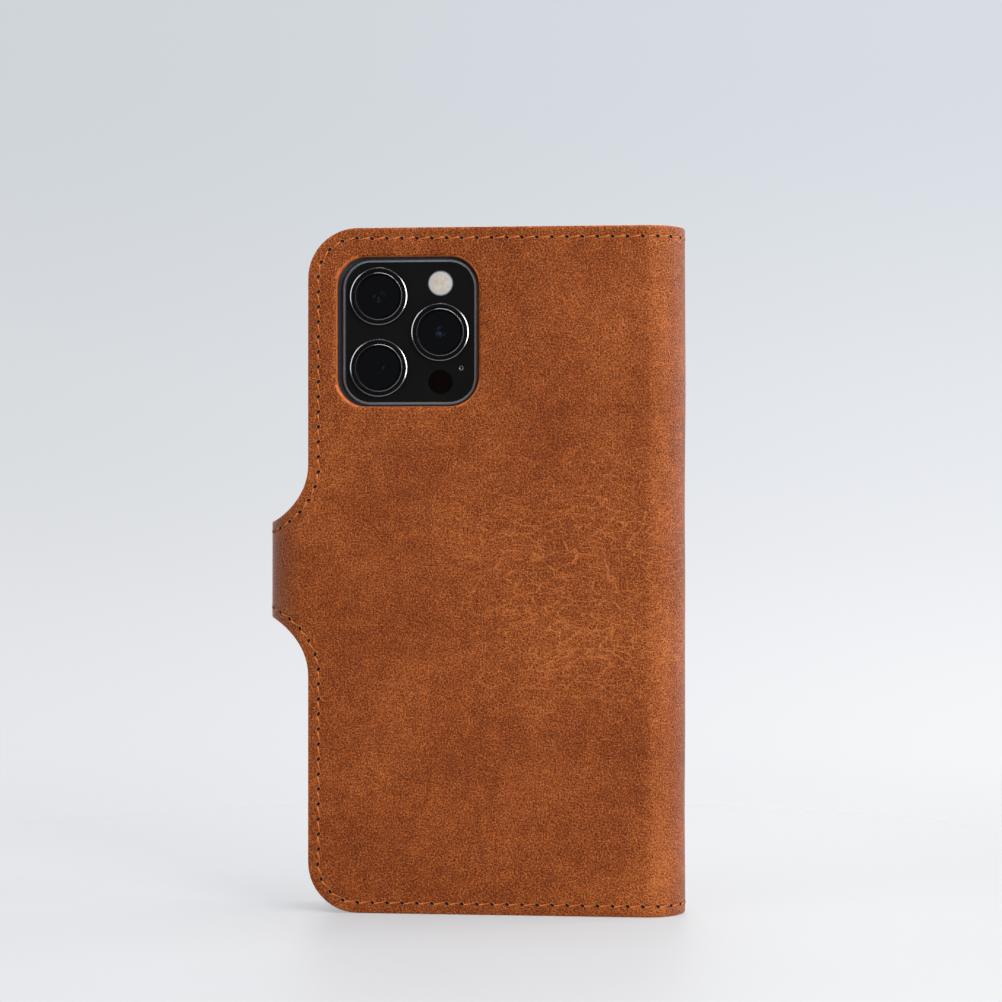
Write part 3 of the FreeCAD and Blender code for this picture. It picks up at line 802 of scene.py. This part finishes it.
def along_path(runs, step):
    """Places and directions along a path of lines and arcs, evenly spaced about a step apart."""
    lengths = []
    for start, end, centre in runs:
        if centre is None:
            lengths.append((end - start).length)
        else:
            lengths.append((start - centre).length * (start - centre).angle(end - centre))
    total = sum(lengths)
    count = round(total / step)
    places = []
    for i in range(count):
        left = (i + 0.5) * total / count
        for (start, end, centre), length in zip(runs, lengths):
            if left <= length or (start, end, centre) == runs[-1]:
                break
            left -= length
        if centre is None:
            heading = (end - start).normalized()
            places.append((start + heading * left, heading))
            continue
        arm = start - centre
        turn = arm.angle_signed(end - centre) * left / length
        arm.rotate(Matrix.Rotation(-turn, 2))
        heading = Vector((arm.y, -arm.x)) * (1 if turn > 0 else -1)
        places.append((centre + arm, heading.normalized()))
    return places


def sew(name, model, places, depth, outwards, keep):
    """Copies a flat stitch to the places that are kept, joins them and bends them with the hide."""
    copies = []
    for spot, heading in places:
        if not keep(spot.x):
            continue
        sink = depth(spot.x, spot.y)
        ahead = Vector((heading.x, 0, heading.y))
        up = Vector((0, -outwards, 0))
        side = ahead.cross(up)
        place = Matrix((ahead, up, side)).transposed().to_4x4()
        place.translation = Vector((spot.x, sink, spot.y))
        twin = copy_of(model, name)
        twin.data.transform(place)
        copies.append(twin)
    bpy.ops.object.select_all(action="DESELECT")
    for twin in copies:
        twin.select_set(True)
    piece = copies[0]
    bpy.context.view_layer.objects.active = piece
    bpy.ops.object.join()
    piece.name = piece.data.name = name
    for v in piece.data.vertices:
        x, deep, z = v.co
        if outwards > 0:
            deep += wavy(x, z)
        spot = bent(x, deep)
        v.co = (spot.x, spot.y, z)
    edit(piece)
    bpy.ops.mesh.normals_make_consistent(inside=False)
    leave()
    smooth(piece, 60)
    return piece


# One stitch: a bar between two holes, dipping into them at its ends
bpy.ops.mesh.primitive_cylinder_add(vertices=6, radius=THREAD_R, depth=STITCH_LEN,
                                    end_fill_type="NOTHING", rotation=(0, math.pi / 2, 0))
stitch = bpy.context.object
bpy.ops.object.transform_apply(rotation=True)
edit(stitch)
cut_at(spaced(-STITCH_LEN / 2, STITCH_LEN / 2, STITCH_CUT), (1, 0, 0))
leave()
store(stitch, "strand", lambda co: co)
for v in stitch.data.vertices:
    share = v.co.x / (STITCH_LEN / 2)
    pinch = 1 - 0.30 * share ** 4
    v.co.y = v.co.y * pinch * 0.9 + STITCH_RISE * (1 - 1.9 * share ** 4)
    v.co.z = v.co.z * pinch - STITCH_SLANT * share

# One hole: a lip of pushed-up leather round a slanting oval, painted near black as the hole's shadow
bpy.ops.mesh.primitive_circle_add(vertices=12, radius=HOLE_W / 2 + HOLE_LIP, fill_type="NGON",
                                  rotation=(math.pi / 2, 0, 0))
hole = bpy.context.object
bpy.ops.object.transform_apply(rotation=True)
edit(hole)
bpy.ops.mesh.inset(thickness=HOLE_LIP)
bpy.ops.transform.translate(value=(0, 0.07 * MM, 0))
bpy.ops.mesh.inset(thickness=0.06 * MM)
bpy.ops.transform.translate(value=(0, -0.02 * MM, 0))
bpy.ops.mesh.inset(thickness=0.05 * MM)
bpy.ops.transform.translate(value=(0, -0.02 * MM, 0))
leave()
for face in hole.data.polygons:
    face.material_index = 1 if face.center.xz.length < HOLE_W / 2 * 0.96 else 0
turn = Matrix.Rotation(HOLE_SLANT, 4, "Y") @ Matrix.Diagonal((1, 1, HOLE_H / HOLE_W, 1))
hole.data.transform(turn)

linen, wire = new_material("waxed_linen")
strand = wire.stored("strand")
part = strand.axis("X")
side = strand.axis("Z")
twist = part * (2 * math.pi / PLY_ALONG) + side * (2 * math.pi / PLY_ROUND)
ply = (twist.maths("SINE") + 1) * 0.5
place = wire.place()
fluff = place.noise(0.16 * MM, 3.0)
worn = place.noise(6 * MM, 2.0)
thread = (ply * 0.55 + fluff * 0.3 + worn * 0.35).step(0.15, 0.95)
# Painted highlight: each stitch is painted paler towards its leading end, over the thread's own ply and
# fluff.
ply_and_painted_highlight = thread * 0.45 + part.step(-0.4 * MM, 1.1 * MM) * 0.55
wire.surface({
    "Base Color": ply_and_painted_highlight.tint((0.24, 0.044, 0.005), (0.74, 0.220, 0.046)),
    "Roughness": 0.60 + fluff * 0.15,
    "Specular IOR Level": 0.25,
    "Normal": (ply + fluff * 0.4).bump(0.07 * MM, 0.9)})

# Painted shadow: the hole is only a shallow dish, and this near-black colour stands for the shade
# inside it.
painted_hole_shadow, wire = new_material("hole_shadow")
place = wire.place()
depths = place.noise(0.3 * MM)
wire.surface({
    "Base Color": depths.step(0.3, 0.7).tint((0.006, 0.003, 0.002), (0.022, 0.008, 0.004)),
    "Roughness": 0.9,
    "Specular IOR Level": 0.1,
    "Normal": depths.bump(0.05 * MM, 0.5)})

lip_leather, wire = new_material("punched_lip")
place = wire.place()
scuff = place.noise(0.4 * MM)
wire.surface({
    "Base Color": scuff.step(0.3, 0.7).tint((0.24, 0.062, 0.012), (0.50, 0.17, 0.045)),
    "Roughness": 0.5,
    "Normal": scuff.bump(0.05 * MM, 0.5)})

stitch.data.materials.append(linen)
hole.data.materials.append(lip_leather)
hole.data.materials.append(painted_hole_shadow)

top_in, low_in = COVER_H - STITCH_IN, STITCH_IN
left_in, right_in, tip_in = COVER_LEFT + STITCH_IN, FRONT_EDGE - STITCH_IN, STRAP_TIP + STITCH_IN
strap_low, strap_top = MID_Z - STRAP_HALF + STITCH_IN, MID_Z + STRAP_HALF - STITCH_IN
seam = rounded_path([
    (left_in, low_in, CORNER_R - STITCH_IN),
    (left_in, strap_low, STRAP_ROOT_R + STITCH_IN),
    (tip_in, strap_low, STRAP_END_R - STITCH_IN),
    (tip_in, strap_top, STRAP_END_R - STITCH_IN),
    (left_in, strap_top, STRAP_ROOT_R + STITCH_IN),
    (left_in, top_in, CORNER_R - STITCH_IN),
    (right_in, top_in, CORNER_R - STITCH_IN),
    (right_in, low_in, CORNER_R - STITCH_IN)])
seam_places = along_path(seam, STITCH)
half_step = sum((b[0] - a[0]).length for a, b in zip(seam_places[:9], seam_places[1:10])) / 18


def shifted_places(places, amount):
    """The same places, moved on along their own line."""
    return [(spot + heading * amount, heading) for spot, heading in places]


def in_channel(x, z):
    return CHANNEL_D


def on_face(x, z):
    return 0.0


def inner_face(x, z):
    """How deep the inside is, with pockets over it, or with thread pulled into the strap's suede."""
    if x < STRAP_STRAIGHT:
        return LINING_IN - STRAP_TUCK
    across = SPINE_END + SPINE_X - x
    if x < SPINE_END or across > POCKET_RIGHT - STITCH_LEN / 2:
        return LINING_IN
    return LINING_IN + NOTE_T + POCKET_T * sum(z < top for top in POCKET_TOPS)


def sew_part(name, part, *nodes):
    """Sews one part of the seam: thread and holes outside, and thread inside."""
    low, high = PARTS[part][1]

    def keep(x):
        return low < x < high

    outside = sew(name + "_thread_outside", stitch, seam_places, in_channel, 1, keep)
    holes = sew(name + "_stitch_holes", hole, shifted_places(seam_places, half_step), on_face, 1, keep)
    inside = sew(name + "_thread_inside", stitch, seam_places, inner_face, -1, keep)
    join_part(outside, part)
    join_part(holes, part)
    join_part(inside, part)
    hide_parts(*nodes)


sew_part("back", "back_cover", "back_thread")
sew_part("strap_root", "strap_root", "strap_side_thread")
sew_part("front", "front_cover", "spine_thread", "front_thread")
sew_part("strap_end", "strap_end", "strap_tip_thread")

# Pockets --------------------------------------------------------------
# Inside the front cover a full-height note pocket and three card pockets, of 0.75 mm leather with
# painted mouths, are stacked and caught in the edge stitching. Each mouth dips for a thumb.
POCKET_BEVEL = 0.2 * MM
CREASE_IN = 2.0 * MM
CREASE_W, CREASE_D = 0.22 * MM, 0.12 * MM
THUMB_R, THUMB_DIP = 70 * MM, 1.6 * MM
OTHER_HIDE = 31  # moves each panel's grain, so that no two panels match

pocket_hide, wire = new_material("pocket_leather")
hide = wire.stored("hide")
pebble = hide.shifted(1.5 * MM, 0.3 * MM).cells(0.65 * MM)
grain = hide.noise(0.35 * MM, 3.0)
mottle = hide.noise(3.5 * MM, 4.0, 0.6)
cloud = hide.noise(20 * MM, 3.0)
shade = mottle * 0.5 + pebble.step(0.14, 0.0) * 0.22 + grain * 0.2 + cloud * 0.4
wire.surface({
    "Base Color": shade.step(0.25, 1.05).tint((0.10, 0.024, 0.006), (0.32, 0.095, 0.024)),
    "Roughness": 0.55 + (mottle - 0.5) * 0.2,
    "Specular IOR Level": 0.4,
    "Normal": (pebble.step(0.0, 0.28) * 0.6 + grain * 0.35).bump(0.09 * MM, 0.7)})


def pocket_panel(name, top, depth, thick, dip):
    """One pocket's panel, from the spine's side to the front cover's free edge."""
    right = SPINE_END + SPINE_X - POCKET_RIGHT
    panel = slab(name, right, FRONT_EDGE, 0, top, depth, depth + thick)
    corners = [(FRONT_EDGE, 0), (FRONT_EDGE, COVER_H)] if top == COVER_H else [(FRONT_EDGE, 0)]
    round_corners(panel, corners, CORNER_R)
    if dip:
        bpy.ops.mesh.primitive_cylinder_add(
            vertices=360, radius=THUMB_R, depth=20 * MM, rotation=(math.pi / 2, 0, 0),
            location=((right + FRONT_EDGE) / 2, depth, top + THUMB_R - THUMB_DIP))
        cut_away(panel, bpy.context.object)
    bevel_rim(panel, depth + thick, POCKET_BEVEL, segments=2)
    press_line(panel, depth + thick, CREASE_IN, CREASE_W, -CREASE_D)
    store(panel, "hide", lambda co: co + Vector((0, 0, OTHER_HIDE * top)))
    form(panel, depth + thick, pocket_hide, steep=0.5)
    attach(panel, "front")
    return panel


note_panel = pocket_panel("note_pocket", COVER_H, LINING_IN, NOTE_T, dip=False)
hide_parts("note_pocket_panel")
pocket_depth = LINING_IN + NOTE_T
for level, top in zip(("upper", "middle", "lower"), POCKET_TOPS):
    panel = pocket_panel("card_pocket_front_" + level, top, pocket_depth, POCKET_T, dip=True)
    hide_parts("card_pocket_" + level)
    pocket_depth += POCKET_T

pocket_side = SPINE_END + SPINE_X - POCKET_RIGHT + STITCH_IN
side_foot = Vector((pocket_side, STITCH_IN))
side_head = Vector((pocket_side, POCKET_TOPS[0] - STITCH_IN))
side_places = along_path([(side_foot, side_head, None)], STITCH)
side_thread = sew("pocket_side_thread", stitch, side_places, inner_face, -1, lambda x: True)
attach(side_thread, "front")
bpy.data.objects.remove(stitch)
bpy.data.objects.remove(hole)

# Camera block ---------------------------------------------------------
# A raised block of black glass on the phone's back, with a polished rolled edge of the back's own
# blue-grey. The edge is painted paler than that, and the black top a little raised in faint patches,
# as painted reflection. Three lenses stand on it in turned black rings, with a flash, a sensor and a
# microphone.
BLOCK_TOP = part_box("camera_plateau")[0].y
ROLL_FROM = 0.09 * MM

block_glass, wire = new_material("camera_block_glass")
place = wire.place()
down = place.axis("Y")
rolled = (down - BLOCK_TOP).step(ROLL_FROM, ROLL_FROM + 0.05 * MM)
haze_and_painted_reflection = place.noise(9 * MM, 3.0)
dust = place.noise(0.5 * MM, 2.0).step(0.70, 0.78)
# Painted reflection: the flat black is raised in faint patches, and the rolled edge is a paler
# blue-grey than the back.
black_and_painted_reflection = (haze_and_painted_reflection * 0.7 + dust * 0.5).tint((0.0026, 0.0026, 0.0027), (0.0070, 0.0070, 0.0074))
edge_blue_and_painted_reflection = haze_and_painted_reflection.tint((0.125, 0.160, 0.195), (0.215, 0.265, 0.300))
wire.surface({
    "Base Color": rolled.tint(black_and_painted_reflection, edge_blue_and_painted_reflection),
    "Roughness": rolled * 0.22 + haze_and_painted_reflection * 0.06 + 0.10,
    "Specular IOR Level": 0.24,
    "Normal": haze_and_painted_reflection.bump(0.02 * MM, 0.2)})


def refinish(node, material):
    """Gives a kept part its finish."""
    for slot in bpy.data.objects[node].material_slots:
        slot.material = material


refinish("camera_plateau", block_glass)


def centre_of(node):
    low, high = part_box(node)
    return (low + high) / 2


def turned(name, centre, profile, sides=96, cap=False):
    """A turned piece facing out of the block: rings of a radius and a height above it, in mm."""
    profile = [(radius * MM, rise * MM) for radius, rise in profile]
    radius, rise = profile[0]
    bpy.ops.mesh.primitive_circle_add(vertices=sides, radius=radius, fill_type="NOTHING",
                                      location=(centre.x, BLOCK_TOP - rise, centre.z),
                                      rotation=(math.pi / 2, 0, 0))
    piece = bpy.context.object
    piece.name = piece.data.name = name
    bpy.ops.object.transform_apply(location=True, rotation=True)
    edit(piece)
    bpy.ops.mesh.select_mode(type="EDGE")
    bpy.ops.mesh.select_all(action="SELECT")
    for (near_r, near_h), (far_r, far_h) in zip(profile, profile[1:]):
        bpy.ops.mesh.extrude_edges_move(TRANSFORM_OT_translate={"value": (0, near_h - far_h, 0)})
        bpy.ops.transform.resize(value=(far_r / near_r, 1, far_r / near_r),
                                 center_override=(centre.x, 0, centre.z))
    if cap:
        bpy.ops.mesh.edge_face_add()
        bpy.ops.mesh.inset(thickness=profile[-1][0] * 0.5)
        bpy.ops.mesh.poke()
    bpy.ops.mesh.select_all(action="SELECT")
    bpy.ops.mesh.remove_doubles(threshold=0.002 * MM)
    bpy.ops.mesh.normals_make_consistent(inside=False)
    leave()
    store(piece, "turning", lambda co: (co.x - centre.x, 0, co.z - centre.z))
    smooth(piece, 24)
    return piece


def fix(piece, node, slot, *finishes):
    """Gives a turned piece its finishes, and sets it on the phone's back for its CAD part."""
    for finish in finishes:
        piece.data.materials.append(finish)
    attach(piece, "back")
    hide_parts(node)


ring_metal, wire = new_material("polished_ring")
place = wire.place()
fine = place.noise(0.25 * MM, 2.0)
wire.surface({
    "Base Color": fine.tint((0.26, 0.26, 0.27), (0.36, 0.36, 0.37)),
    "Metallic": 1.0,
    "Roughness": 0.16 + fine * 0.08,
    "Normal": fine.bump(0.01 * MM, 0.2)})

ring_black, wire = new_material("blackened_ring")
place = wire.place()
fine = place.noise(0.3 * MM, 2.0)
wire.surface({
    "Base Color": fine.tint((0.0016, 0.0016, 0.0018), (0.0042, 0.0042, 0.0048)),
    "Roughness": 0.34 + fine * 0.12,
    "Specular IOR Level": 0.06,
    "Normal": fine.bump(0.01 * MM, 0.3)})

# The lens glass is nearly black, with painted reflections on it: blue glints in its middle and faint
# rings of the elements below
lens_glass, wire = new_material("coated_lens_glass")
turning = wire.stored("turning")
place = wire.place()
radius = turning.length()
# Painted reflection: blue glints in the middle and faint blue rings over the elements below.
painted_glint = place.shifted(0.8 * MM, 0.5 * MM).noise(0.9 * MM, 2.0).step(0.50, 0.66)
painted_glint = painted_glint * radius.step(1.7 * MM, 0.7 * MM)
element = (radius - 3.1 * MM).maths("ABSOLUTE").step(0.14 * MM, 0.04 * MM) * 0.35
iris = (radius - 1.75 * MM).maths("ABSOLUTE").step(0.10 * MM, 0.03 * MM) * 0.25
deep = (painted_glint * 0.8 + element + iris).tint((0.0012, 0.0012, 0.0016), (0.016, 0.026, 0.042))
wire.surface({
    "Base Color": deep,
    "Roughness": radius.step(0.0, 5 * MM) * 0.04 + 0.05,
    "Specular IOR Level": 0.22,
    "Coat Weight": 0.15,
    "Coat Tint": (0.75, 0.82, 1.0),
    "Normal": place.noise(2.0 * MM).bump(0.005 * MM, 0.1)})

# Two fine bright lines are turned in each ring, one at its outer edge and one round the glass
OUTER_LINE = (6.32 * MM, 6.53 * MM)
INNER_LINE = (5.24 * MM, 5.44 * MM)
LINE_RISE = 0.9 * MM

for which in ("upper", "lower", "side"):
    centre = centre_of(which + "_lens_ring")
    ring = turned(which + "_lens_bezel", centre, [
        (6.55, -0.80), (6.55, 0.94), (6.49, 1.06), (6.30, 1.16), (6.16, 1.18), (5.62, 1.16),
        (5.48, 1.02), (5.44, 1.02), (5.25, 1.17), (5.16, 1.18), (5.06, 1.02), (4.90, 0.60),
        (4.78, 0.50), (4.74, 0.10), (4.70, -0.80), (6.55, -0.80)])
    for face in ring.data.polygons:
        reach = math.hypot(face.center.x - centre.x, face.center.z - centre.z)
        on_line = any(near < reach < far for near, far in (OUTER_LINE, INNER_LINE))
        proud = BLOCK_TOP - face.center.y > LINE_RISE
        face.material_index = 1 if proud and on_line else 0
    fix(ring, which + "_lens_ring", "lens_metal", ring_black, ring_metal)
    cover = turned(which + "_lens_cover", centre, [
        (4.76, 0.30), (4.76, 0.52), (4.68, 0.58), (4.0, 0.66), (3.0, 0.74), (1.8, 0.80),
        (0.7, 0.83)], cap=True)
    fix(cover, which + "_lens_glass", "lens_glass", lens_glass)

# The flash is a frosted, faceted plastic lens in a thin dark collar
flash_plastic, wire = new_material("frosted_flash")
turning = wire.stored("turning")
radius = turning.length()
facets = turning.cells(0.42 * MM, "F1")
milky = turning.noise(1.3 * MM, 3.0)
diode = (facets * 0.5 + milky * 0.6).step(0.15, 0.85).tint((0.36, 0.33, 0.295), (0.56, 0.50, 0.43))
rimmed = radius.step(1.5 * MM, 2.5 * MM).tint(diode, (0.44, 0.445, 0.45))
wire.surface({
    "Base Color": radius.step(2.45 * MM, 2.75 * MM).tint(rimmed, (0.12, 0.12, 0.12)),
    "Roughness": 0.28 + facets * 0.25,
    "Specular IOR Level": 0.5,
    "Normal": (facets * 0.7 + milky * 0.5).bump(0.08 * MM, 0.6)})

flash = turned("flash_diffuser", centre_of("flash_lens"), [
    (2.85, -0.60), (2.85, 0.00), (2.80, 0.05), (2.70, 0.05), (2.64, 0.01), (2.58, 0.02),
    (2.2, 0.07), (1.4, 0.11), (0.6, 0.13)], sides=64, cap=True)
fix(flash, "flash_lens", "flash", flash_plastic)

sensor_glass, wire = new_material("sensor_glass")
place = wire.place()
depths = place.noise(1.4 * MM, 2.0)
wire.surface({
    "Base Color": depths.tint((0.0014, 0.0005, 0.0005), (0.0035, 0.0014, 0.0014)),
    "Roughness": 0.10 + depths * 0.05,
    "Specular IOR Level": 0.08,
    "Normal": depths.bump(0.01 * MM, 0.1)})
sensor = turned("sensor_cover", centre_of("depth_sensor_window"), [
    (2.75, -0.60), (2.75, -0.02), (2.70, 0.02), (2.2, 0.03), (1.0, 0.03)], sides=64, cap=True)
fix(sensor, "depth_sensor_window", "lens_glass", sensor_glass)

microphone = turned("microphone_ring", centre_of("rear_microphone"), [
    (0.60, -0.50), (0.60, 0.02), (0.55, 0.07), (0.40, 0.07), (0.32, 0.02), (0.28, -0.10),
    (0.27, -0.40)], sides=32, cap=True)
for face in microphone.data.polygons:
    face.material_index = 1 if face.center.y > BLOCK_TOP else 0
fix(microphone, "rear_microphone", "lens_metal", ring_metal, ring_black)

# Phone ----------------------------------------------------------------
# A steel band with chamfered rims between two panes of glass: a matt blue-grey back and a screen.
# Its keys are steel pills that press in, and its ring switch slides.
KEY_SOFTENED = 0.18 * MM
KEY_DEPTH = 0.3 * MM
frame_middle = centre_of("phone_frame")

steel, wire = new_material("polished_steel_band")
place = wire.place()
brushed = place.slanted(0, (1.0, 1.0, 0.06)).noise(0.12 * MM, 2.0)
smudge = place.noise(7 * MM, 3.0)
wire.surface({
    "Base Color": smudge.tint((0.13, 0.135, 0.145), (0.19, 0.195, 0.205)),
    "Metallic": 1.0,
    "Roughness": 0.18 + brushed * 0.10 + smudge * 0.08,
    "Normal": brushed.bump(0.01 * MM, 0.25)})

matt_glass, wire = new_material("matt_back_glass")
place = wire.place()
etched = place.noise(0.10 * MM, 2.0)
smudge = place.noise(12 * MM, 3.0)
wire.surface({
    "Base Color": smudge.tint((0.028, 0.034, 0.046), (0.040, 0.047, 0.061)),
    "Roughness": 0.42 + etched * 0.12,
    "Specular IOR Level": 0.4,
    "Normal": etched.bump(0.01 * MM, 0.35)})

# The screen is off: a black border, a slightly paler display with rounded corners, and a speaker slit
screen_low, screen_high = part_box("phone_screen")
BORDER = 2.2 * MM
DISPLAY_R = 7.5 * MM
SLIT_HALF, SLIT_DOWN = 5.4 * MM, 1.1 * MM
screen_glass, wire = new_material("screen_glass")
place = wire.place()
across = place.axis("X")
height = place.axis("Z")
half_w = (screen_high.x - screen_low.x) / 2 - BORDER - DISPLAY_R
half_h = (screen_high.z - screen_low.z) / 2 - BORDER - DISPLAY_R
side = ((across - frame_middle.x).maths("ABSOLUTE") - half_w).maths("MAXIMUM", 0.0)
above = ((height - frame_middle.z).maths("ABSOLUTE") - half_h).maths("MAXIMUM", 0.0)
corner = (side * side + above * above).maths("SQRT")
display = corner.step(DISPLAY_R + 0.06 * MM, DISPLAY_R - 0.06 * MM)
slit_side = ((across - frame_middle.x).maths("ABSOLUTE") - SLIT_HALF).maths("MAXIMUM", 0.0)
slit_above = height - (screen_high.z - SLIT_DOWN)
slit = (slit_side * slit_side + slit_above * slit_above).maths("SQRT").step(0.36 * MM, 0.30 * MM)
mesh_dots = place.cells(0.22 * MM, "F1")
smudge = place.noise(14 * MM, 4.0, 0.6)
speaker = mesh_dots.step(0.2, 0.5).tint((0.05, 0.05, 0.05), (0.006, 0.006, 0.006))
panel = display.tint((0.0025, 0.0025, 0.0028), (0.0075, 0.0080, 0.0095))
wire.surface({
    "Base Color": slit.tint(panel, speaker),
    "Roughness": smudge.step(0.3, 0.8) * 0.10 + slit * 0.4 + 0.04,
    "Specular IOR Level": 0.5,
    "Normal": (mesh_dots * slit).bump(0.05 * MM, 0.4)})

refinish("phone_frame", steel)
refinish("phone_back_glass", matt_glass)
refinish("phone_screen", screen_glass)


def pill(name, node, round_r):
    """A key with round ends and a softened face, as long as its CAD part and on the body named so."""
    low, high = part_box(node)
    key = slab(name, low.x, high.x, low.z, high.z, low.y, high.y)
    edit(key)
    pick("EDGE", lambda e: abs(e.verts[0].co.x - e.verts[1].co.x) > KEY_DEPTH)
    bpy.ops.mesh.bevel(offset=round_r, segments=8, affect="EDGES")
    outer = low.x if low.x < 0 else high.x
    pick("EDGE", lambda e: all(abs(v.co.x - outer) < NEAR for v in e.verts)
         and any(abs(f.normal.x) < 0.5 for f in e.link_faces))
    bpy.ops.mesh.bevel(offset=KEY_SOFTENED, segments=3, affect="EDGES")
    leave()
    smooth(key, 40)
    key.data.materials.append(steel)
    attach(key, node)
    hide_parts(node)


pill("side_key", "side_button", 1.25 * MM)
pill("volume_up_key", "volume_up_button", 1.25 * MM)
pill("volume_down_key", "volume_down_button", 1.25 * MM)
pill("ring_switch_key", "ring_switch", 0.70 * MM)

# Tray -----------------------------------------------------------------
# A soft black moulded tray, glued to the lining, grips the phone round its sides. Windows in its
# walls clear the keys, and its edges are rounded as a mould leaves them.
TRAY_ROUND = 0.28 * MM

tray_rubber, wire = new_material("soft_touch_tray")
place = wire.place()
spark = place.cells(0.16 * MM, "F1")
dusty = place.noise(5 * MM, 4.0, 0.6)
wire.surface({
    "Base Color": dusty.step(0.3, 0.8).tint((0.010, 0.010, 0.011), (0.020, 0.020, 0.021)),
    "Roughness": 0.62 + (dusty - 0.5) * 0.2,
    "Specular IOR Level": 0.35,
    "Normal": spark.bump(0.03 * MM, 0.5)})

tray = copy_of(bpy.data.objects["phone_tray"], "moulded_tray")
tray.data.materials.clear()
tray.data.materials.append(tray_rubber)
edit(tray)
bpy.ops.mesh.remove_doubles(threshold=NEAR)
bpy.ops.mesh.dissolve_limited(angle_limit=math.radians(1))
bpy.ops.mesh.normals_make_consistent(inside=False)
leave()
rounding = tray.modifiers.new("rounding", "BEVEL")
rounding.width = TRAY_ROUND
rounding.segments = 3
rounding.limit_method = "ANGLE"
rounding.angle_limit = math.radians(40)
only(tray)
bpy.ops.object.modifier_apply(modifier=rounding.name)
smooth(tray, 35)
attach(tray, "back")
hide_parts("phone_tray")

# Board and magnets ----------------------------------------------------
# Grey board, glued between leather and lining, stiffens the front cover. Nickel-plated magnets lie
# in the cover and in the strap's end.
grey_board, wire = new_material("grey_board")
place = wire.place()
fibre = place.slanted(0.6, (1.0, 1.0, 0.25)).noise(0.5 * MM, 4.0, 0.7)
wire.surface({
    "Base Color": fibre.step(0.3, 0.7).tint((0.16, 0.15, 0.13), (0.30, 0.28, 0.25)),
    "Roughness": 0.9,
    "Normal": fibre.bump(0.05 * MM, 0.5)})
refinish("front_board", grey_board)

nickel, wire = new_material("nickel_plate")
place = wire.place()
scratch = place.slanted(0.4, (1.0, 1.0, 0.1)).noise(0.2 * MM, 2.0)
wire.surface({
    "Base Color": scratch.tint((0.48, 0.46, 0.42), (0.62, 0.60, 0.56)),
    "Metallic": 1.0,
    "Roughness": 0.22 + scratch * 0.15,
    "Normal": scratch.bump(0.01 * MM, 0.3)})
refinish("cover_magnets", nickel)
refinish("strap_magnets", nickel)
